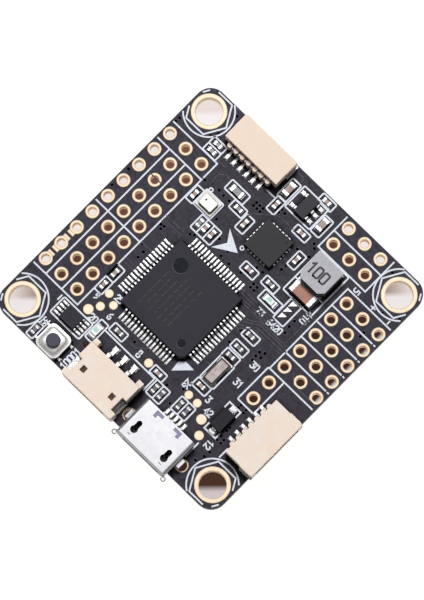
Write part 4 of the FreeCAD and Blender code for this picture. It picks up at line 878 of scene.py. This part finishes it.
COVERING = (
    "motion_sensor_body", "pressure_sensor_base", "inductor_core", "crystal_base",
    "side_socket_housing", "front_socket_housing", "power_socket_housing",
)
covered = [box_mm(node) for node in COVERING]
chip_ends = fillets()
for low, high in islands("component_lands"):
    here = (low + high) / 2
    if any((end - here).xy.length < CHIP_LAND_NEAR for end in chip_ends):
        continue
    if any(a.x < here.x < b.x and a.y < here.y < b.y for a, b in covered):
        continue
    narrow = min(high.x - low.x, high.y - low.y) < NARROW_LAND
    pillow(low, high, LOW_MOUND if narrow else HIGH_MOUND)
solder.make("solder_joints", M["tinned_metal"], slot="tinned_metal", smooth=True)


# ---- Marks on parts ----

VALUE_SHIFT, VALUE_HIGH, VALUE_LINE = (0.1, -0.25), 1.3, 0.24
STAMP_HIGH, STAMP_SUNK = 0.008, 0.002
# Each dimple's place along the diagonal from the processor's middle, and its radius.
DIMPLES = ((3.55, 0.5), (-2.8, 0.9))
DIMPLE_DEEP = 0.06
# The section of the painted highlight on each dimple's edge: how far out, how much of a bulge towards +X,
# and how high.
GLINT_SECTION = ((0.0, 0.0, -0.01), (0.01, 0.0, 0.006), (0.03, 0.09, 0.006), (0.04, 0.1, -0.01))
ETCH_HIGH, ETCH_STEP = 0.004, 0.001
ETCH_ROWS, ETCH_PITCH, ETCH_START, ETCH_END = 7, 0.72, -3.3, 3.3
TICK_SHARE, TICK_LINE = 0.6, 0.06
chip_low, chip_high = box_mm("processor_body")
chip = (chip_low + chip_high) / 2


def inductor_digits():
    """A generic value stamped on the ferrite."""
    low, high = box_mm("inductor_core")
    middle = (low + high) / 2
    x, y = middle.x + VALUE_SHIFT[0], middle.y + VALUE_SHIFT[1]
    digits = Builder()
    for line in strokes("100", x, y, VALUE_HIGH, 90):
        digits.strip(line, VALUE_LINE, high.z - STAMP_SUNK, STAMP_HIGH)
    stamp = moulded_material("stamp_ink", (0.035, 0.033, 0.04), (0.06, 0.058, 0.066), edge_highlight=0.0)
    digits.make("inductor_value_digits", stamp)


def clear_of_dimples(x, y, gap=0.4):
    """Whether a mark that starts here on the processor stays off its dimples."""
    middles = [(chip.x + at, chip.y + at, radius) for at, radius in DIMPLES]
    return all(math.hypot(x - u, y - v) > radius + gap for u, v, radius in middles)


def etch_marks():
    """Rows of short plain dashes and ticks, in random lengths and gaps, in place of lettering."""
    marks = Builder()
    for row in range(ETCH_ROWS):
        along = -2.6 + 1.2 * rng.random()
        while along < ETCH_END:
            size = 0.12 + 0.5 * rng.random()
            x, y = chip.x + along, chip.y + ETCH_START + ETCH_PITCH * row
            width = 0.07 + 0.06 * rng.random()
            if clear_of_dimples(x, y) and clear_of_dimples(x + size, y):
                marks.strip([(x, y), (x + size, y)], width, chip_high.z, ETCH_HIGH)
                if rng.random() < TICK_SHARE:
                    tick = [(x, y), (x, y + 0.3 * rng.random() + 0.1)]
                    marks.strip(tick, TICK_LINE, chip_high.z, ETCH_HIGH + ETCH_STEP)
            along += size + 0.12 + 0.5 * rng.random()
    etch = moulded_material("laser_etch", (0.044, 0.042, 0.040), (0.062, 0.058, 0.054), edge_highlight=0.0)
    marks.make("processor_etch_marks", etch, slot="package_black")


def dimple_floors():
    """A smooth, faintly domed floor in each dimple."""
    floors = Builder()
    for offset, radius in DIMPLES:
        x, y, z = chip.x + offset, chip.y + offset, chip_high.z - DIMPLE_DEEP
        edge = radius - 0.01
        levels = ((edge, 0.0), (edge, 0.012), (radius * 0.8, 0.016), (radius * 0.3, 0.02))
        floors.loft([at_z(circle(x, y, r, 40), z + up) for r, up in levels])
    polish = moulded_material(
        "dimple_polish", (0.0015, 0.0027, 0.007), (0.004, 0.0065, 0.014), 9, 0.004, 0.7, edge_highlight=0.0
    )
    floors.make("processor_dimple_floors", polish, slot="package_black", smooth=True)


def crescent(x, y, radius, grow):
    """A circle whose +X side bulges outwards."""
    points = []
    for px, py in circle(x, y, radius):
        share = 1 + grow * max(0.0, (px - x) / radius) / radius
        points.append((x + (px - x) * share, y + (py - y) * share))
    return points


def dimple_highlights():
    """A thin raised lip round each dimple, widest on its +X side, painted pale as a highlight."""
    glints = Builder()
    for offset, radius in DIMPLES:
        x, y = chip.x + offset, chip.y + offset
        levels = [
            at_z(crescent(x, y, radius + out, grow), chip_high.z + up) for out, grow, up in GLINT_SECTION
        ]
        glints.loft(levels, closed=True)
    # Painted highlight: the lip's pale colour.
    glint_tone = moulded_material("dimple_painted_highlight", (0.055, 0.055, 0.068), (0.085, 0.085, 0.10), edge_highlight=0.0)
    glints.make("processor_dimple_highlights", glint_tone, slot="package_black", smooth=True)


inductor_digits()
etch_marks()
dimple_floors()
dimple_highlights()


# ---- Curls at the USB lip and glow of the indicators ----

# The curls' size and place on the shell's corners, and the size and place of the spots.
UP = Vector((0, 0, 1))
CURL_R, CURL_WIRE = 0.25, 0.07
CURL_TURN, CURL_STEPS = 270, 14
CURL_IN, CURL_BACK, CURL_DOWN = 0.38, 0.14, 1.1
SPOT_LONG, SPOT_SHORT, SPOT_CORNER = 0.62, 0.5, 0.08
SPOT_IN = (0.08, 0.1)
SPOT_LEVELS = ((1.0, -0.01), (1.0, 0.006), (0.8, 0.012))


def usb_curls():
    """The sheet's edge rolled into a small curl at each end of the USB mouth."""
    low, high = box_mm("usb_shell")
    curls = Builder()
    for y, way in ((low.y + CURL_IN, 1), (high.y - CURL_IN, -1)):
        centre = Vector((high.x + CURL_R - CURL_BACK, y, high.z - CURL_DOWN))
        levels = []
        for i in range(CURL_STEPS + 1):
            turn = math.radians(180 + way * CURL_TURN * i / CURL_STEPS)
            spoke = Vector((math.cos(turn), math.sin(turn), 0))
            middle = centre + spoke * CURL_R
            corners = [math.radians(45 + 90 * k) for k in range(4)]
            offsets = [spoke * math.cos(b) + 2 * UP * math.sin(b) for b in corners]
            levels.append([tuple(middle + CURL_WIRE * offset) for offset in offsets])
        curls.loft(levels)
    # Painted shade: the curled edge is near-black, though it is the shell's bright steel.
    edge = metal_material("curled_edge_painted_shade", (0.05, 0.05, 0.055), (0.03, 0.03, 0.035), 0.4, 6)
    curls.make("usb_lip_curls", edge, slot="usb_steel", smooth=True)


def led_glows():
    """The pale teal of the light-emitting chip, showing through one end of each lens."""
    spots = Builder()
    for low, high in islands("led_lenses"):
        size_x, size_y = SPOT_LONG, SPOT_SHORT
        if high.y - low.y > high.x - low.x:
            size_x, size_y = size_y, size_x
        x, y = low.x + size_x / 2 + SPOT_IN[0], low.y + size_y / 2 + SPOT_IN[1]
        spots.loft([
            at_z(rounded(x, y, size_x * share, size_y * share, SPOT_CORNER), high.z + up)
            for share, up in SPOT_LEVELS
        ])
    teal = ceramic_material("led_chip_glow", (0.36, 0.62, 0.57), (0.24, 0.50, 0.46), 0.3)
    spots.make("led_chip_glow_spots", teal, slot="led_epoxy")


usb_curls()
led_glows()


# ---- Push button ----

# The cover's sheet, hole and skirt, and the spring dome's steps, curve and sheet.
SHEET = 0.12
COVER_HOLE_R = 0.86
COVER_STEPS = 6
SKIRT_DOWN = 0.42
TOP_SIDE, TOP_CORNER = 2.2, 0.42
DOME_STEPS, DOME_POWER = 8, 1.2
DOME_SHEET = 0.05
cover_low, cover_high = box_mm("button_cover")
button = (cover_low + cover_high) / 2


def square(side, corner, z):
    """A rounded square ring round the button's middle."""
    return at_z(rounded(button.x, button.y, side, side, corner, COVER_STEPS), z)


def button_cover():
    """Pressed steel cover: a skirt, a flat rim, sloping sides and a top with a round hole."""
    side, top = cover_high.x - cover_low.x, cover_high.z
    rim = box_mm("button_base")[1].z
    outer = (
        (side, 0.75, rim - SKIRT_DOWN), (side, 0.75, rim + 0.04), (side - 0.07, 0.72, rim + SHEET),
        (2.62, 0.55, rim + SHEET + 0.01), (2.42, 0.5, rim + 0.24), (2.3, 0.45, top - 0.04),
        (TOP_SIDE, TOP_CORNER, top),
    )
    inner = (
        (2.02, 0.4, top - SHEET), (2.1, 0.4, rim + 0.2), (2.3, 0.45, rim + 0.002),
        (side - 0.2, 0.65, rim + 0.002), (side - 0.2, 0.65, rim - SKIRT_DOWN),
    )
    hole = []
    for x, y, _ in square(TOP_SIDE, TOP_CORNER, top):
        a = math.atan2(y - button.y, x - button.x)
        hole.append((button.x + COVER_HOLE_R * math.cos(a), button.y + COVER_HOLE_R * math.sin(a)))
    cover = Builder()
    levels = [square(*level) for level in outer]
    levels += [at_z(hole, top), at_z(hole, top - SHEET)]
    levels += [square(*level) for level in inner]
    cover.loft(levels, closed=True)
    steel = M["button_cover_steel"]
    piece = cover.make("button_cover_pressed", steel, slot="button_cover_steel", smooth=True)
    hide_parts("button_cover")


def dome_rings(radius, rise, z, least):
    """Rings from the foot of a dome to its top."""
    rings = []
    for i in range(DOME_STEPS + 1):
        angle = math.pi / 2 * i / DOME_STEPS
        ring = circle(button.x, button.y, max(least, radius * math.cos(angle)), 40)
        rings.append(at_z(ring, z + rise * math.sin(angle) ** DOME_POWER))
    return rings


def snap_dome():
    """Thin spring dome, built in its resting shape; the real one flattens as the plunger goes down."""
    low, high = box_mm("button_dome")
    radius, rise = (high.x - low.x) / 2, high.z - low.z
    outside = dome_rings(radius, rise, low.z, 0.01)
    inside = dome_rings(radius - 0.06, rise - DOME_SHEET, low.z, 0.008)
    dome = Builder()
    dome.loft(outside + inside[::-1], closed=True)
    piece = dome.make("button_snap_dome", M["spring_steel"], slot="spring_steel", smooth=True)
    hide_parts("button_dome")
    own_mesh(piece)


button_cover()
snap_dome()


# ---- Camera, lights and floor ----

scene = bpy.context.scene
AZIMUTH, ELEVATION, ROLL = (math.radians(angle) for angle in (140.788, 82.466, -6.362))
DISTANCE = 0.5
LENS, SENSOR = 261.98, 36.0
TARGET = Vector((0.145, 0.336, MASK_Z)) * MM
WHITE = (1.0, 0.995, 0.99)


def turned(way):
    """Rotation of a camera or lamp that looks along a direction."""
    return way.to_track_quat("-Z", "Y").to_matrix()


def add_camera():
    """The camera: nearly overhead, tilted a few degrees, with a long lens."""
    across = math.cos(ELEVATION)
    back = Vector((math.sin(AZIMUTH) * across, -math.cos(AZIMUTH) * across, math.sin(ELEVATION)))
    camera = bpy.data.objects.new("camera", bpy.data.cameras.new("camera"))
    camera.location = TARGET + back * DISTANCE
    camera.rotation_euler = (turned(-back) @ Matrix.Rotation(ROLL, 3, "Z")).to_euler()
    camera.data.lens = LENS
    camera.data.sensor_width = SENSOR
    camera.data.clip_start = 0.01
    scene.collection.objects.link(camera)
    scene.camera = camera


def softbox(name, place, side, watts):
    """A square lamp aimed at the board."""
    light = bpy.data.objects.new(name, bpy.data.lights.new(name, "AREA"))
    light.data.size = side
    light.data.energy = watts
    light.location = place
    light.rotation_euler = turned(-Vector(place)).to_euler()
    scene.collection.objects.link(light)


def add_world():
    """A weak, slightly cool light from all round."""
    world = bpy.data.worlds.new("studio")
    world.use_nodes = True
    sky = world.node_tree.nodes["Background"]
    sky.inputs["Color"].default_value = (0.93, 0.95, 1.0, 1.0)
    sky.inputs["Strength"].default_value = 0.10
    scene.world = world


# The floor, in millimetres. Seen from above it is deeply shaded out to SHADE_EDGE, with a pool
# of light out to POOL_EDGE under each corner hole. The slanted view moves the hole's place on
# the floor by SEEN_SHIFT.
FLOOR_Z = -4.0
FLOOR_CORNERS = ((-2000, -2000), (2000, -2000), (2000, 2000), (-2000, 2000))
SEEN_SHIFT, SHADE_SHIFT = 0.54, 0.6
SHADE_EDGE = (15.8, 16.3)
DUSK_HALF, DUSK_EDGE = 15.2, (2.0, 2.25)
HOLE_AT, POOL_EDGE = 15.25, (2.0, 1.85)
STEEP = (0.75, 0.93)
SHADOW_EDGE = (5.0, 19.0)


def floor_shade(s, x, y, open_floor):
    """The floor's painted shade away from the corner holes, as seen from above."""
    past = [s.math("SUBTRACT", s.math("ABSOLUTE", v), DUSK_HALF) for v in (x, y)]
    outside = s.ramp(s.length(*[s.math("MAXIMUM", v) for v in past]), *DUSK_EDGE)
    slope = s.ramp(s.math("ADD", *s.place()[:2]), -26.0, 4.0)
    shade = s.mix(slope, (0.20, 0.084, 0.054), (0.045, 0.019, 0.012))
    dusk = s.mix(outside, (0.82, 0.755, 0.735), WHITE)
    return s.mix(open_floor, shade, dusk)


def hole_pool(s, local, signs):
    """The graded light seen through a corner hole; which hole it is follows from the signs."""
    down = s.math("ADD", *local)
    which = s.math("ADD", *signs)
    outward = s.math("ADD", *[s.math("MULTIPLY", v, sign) for v, sign in zip(local, signs)])
    side_top = s.mix(s.ramp(outward, -2.0, 1.6), (0.36, 0.26, 0.22), (0.70, 0.61, 0.58))
    light_top = s.mix(s.ramp(which, -2.0, 0.0), (0.80, 0.69, 0.65), side_top)
    light_foot = s.mix(s.ramp(which, -2.0, 0.0), (0.92, 0.86, 0.87), (0.83, 0.79, 0.79))
    light_pool = s.mix(s.ramp(down, -0.5, 0.4), light_top, light_foot)
    dark_pool = s.mix(s.ramp(down, 0.45, 1.5), (0.055, 0.026, 0.016), (0.60, 0.53, 0.54))
    return s.mix(s.ramp(which, 0.0, 2.0), light_pool, dark_pool)


def paper_material():
    """Pale paper that glows, so its light and shade are painted. Seen from above it is deeply shaded
    under the board, with a graded light pool under each corner hole; seen from the side it only carries a
    soft shadow."""
    s = Shader("floor_paper", rough=0.9)
    x, y, _ = s.place()
    across = [s.math("ABSOLUTE", s.math("SUBTRACT", v, SHADE_SHIFT)) for v in (x, y)]
    widest = s.math("MAXIMUM", *across)
    open_floor = s.ramp(widest, *SHADE_EDGE)
    seen = [s.math("ADD", v, SEEN_SHIFT) for v in (x, y)]
    signs = [s.math("SIGN", v) for v in seen]
    middles = [s.math("MULTIPLY", sign, HOLE_AT) for sign in signs]
    local = [s.math("SUBTRACT", v, middle) for v, middle in zip(seen, middles)]
    ground = floor_shade(s, *seen, open_floor)
    ground = s.mix(s.ramp(s.length(*local), *POOL_EDGE), ground, hole_pool(s, local, signs))
    surface = s.node("NewGeometry").outputs
    steep = s.ramp(s.dot(surface["Incoming"], surface["Normal"]), *STEEP)
    shadow = s.mix(s.ramp(widest, *SHADOW_EDGE), (0.42, 0.414, 0.41), WHITE)
    # The floor's emission paints its shade, shadow and light pools.
    s.put("Emission Color", s.mix(steep, shadow, ground))
    s.put("Emission Strength", 1.0)
    grain = s.mix(s.noise(0.02, 3), (0.02, 0.02, 0.02), (0.03, 0.03, 0.03))
    # Painted shade: a brown base colour under the board, the paper's grain elsewhere.
    s.put("Base Color", s.mix(open_floor, (0.06, 0.025, 0.014), grain))
    return s.mat


def add_floor():
    """One wide pale square under the board."""
    mesh = bpy.data.meshes.new("floor")
    corners = [times(v, MM) for v in at_z(FLOOR_CORNERS, FLOOR_Z)]
    mesh.from_pydata(corners, [], [[0, 1, 2, 3]])
    mesh.materials.append(paper_material())
    floor = bpy.data.objects.new("floor", mesh)
    scene.collection.objects.link(floor)


add_camera()
softbox("key_light", (-0.185, -0.15, 0.57), 0.13, 3.6)
softbox("top_light", (-0.06, -0.07, 0.7), 0.5, 0.6)
add_world()
add_floor()
scene.view_settings.view_transform = "Standard"
scene.view_settings.look = "None"
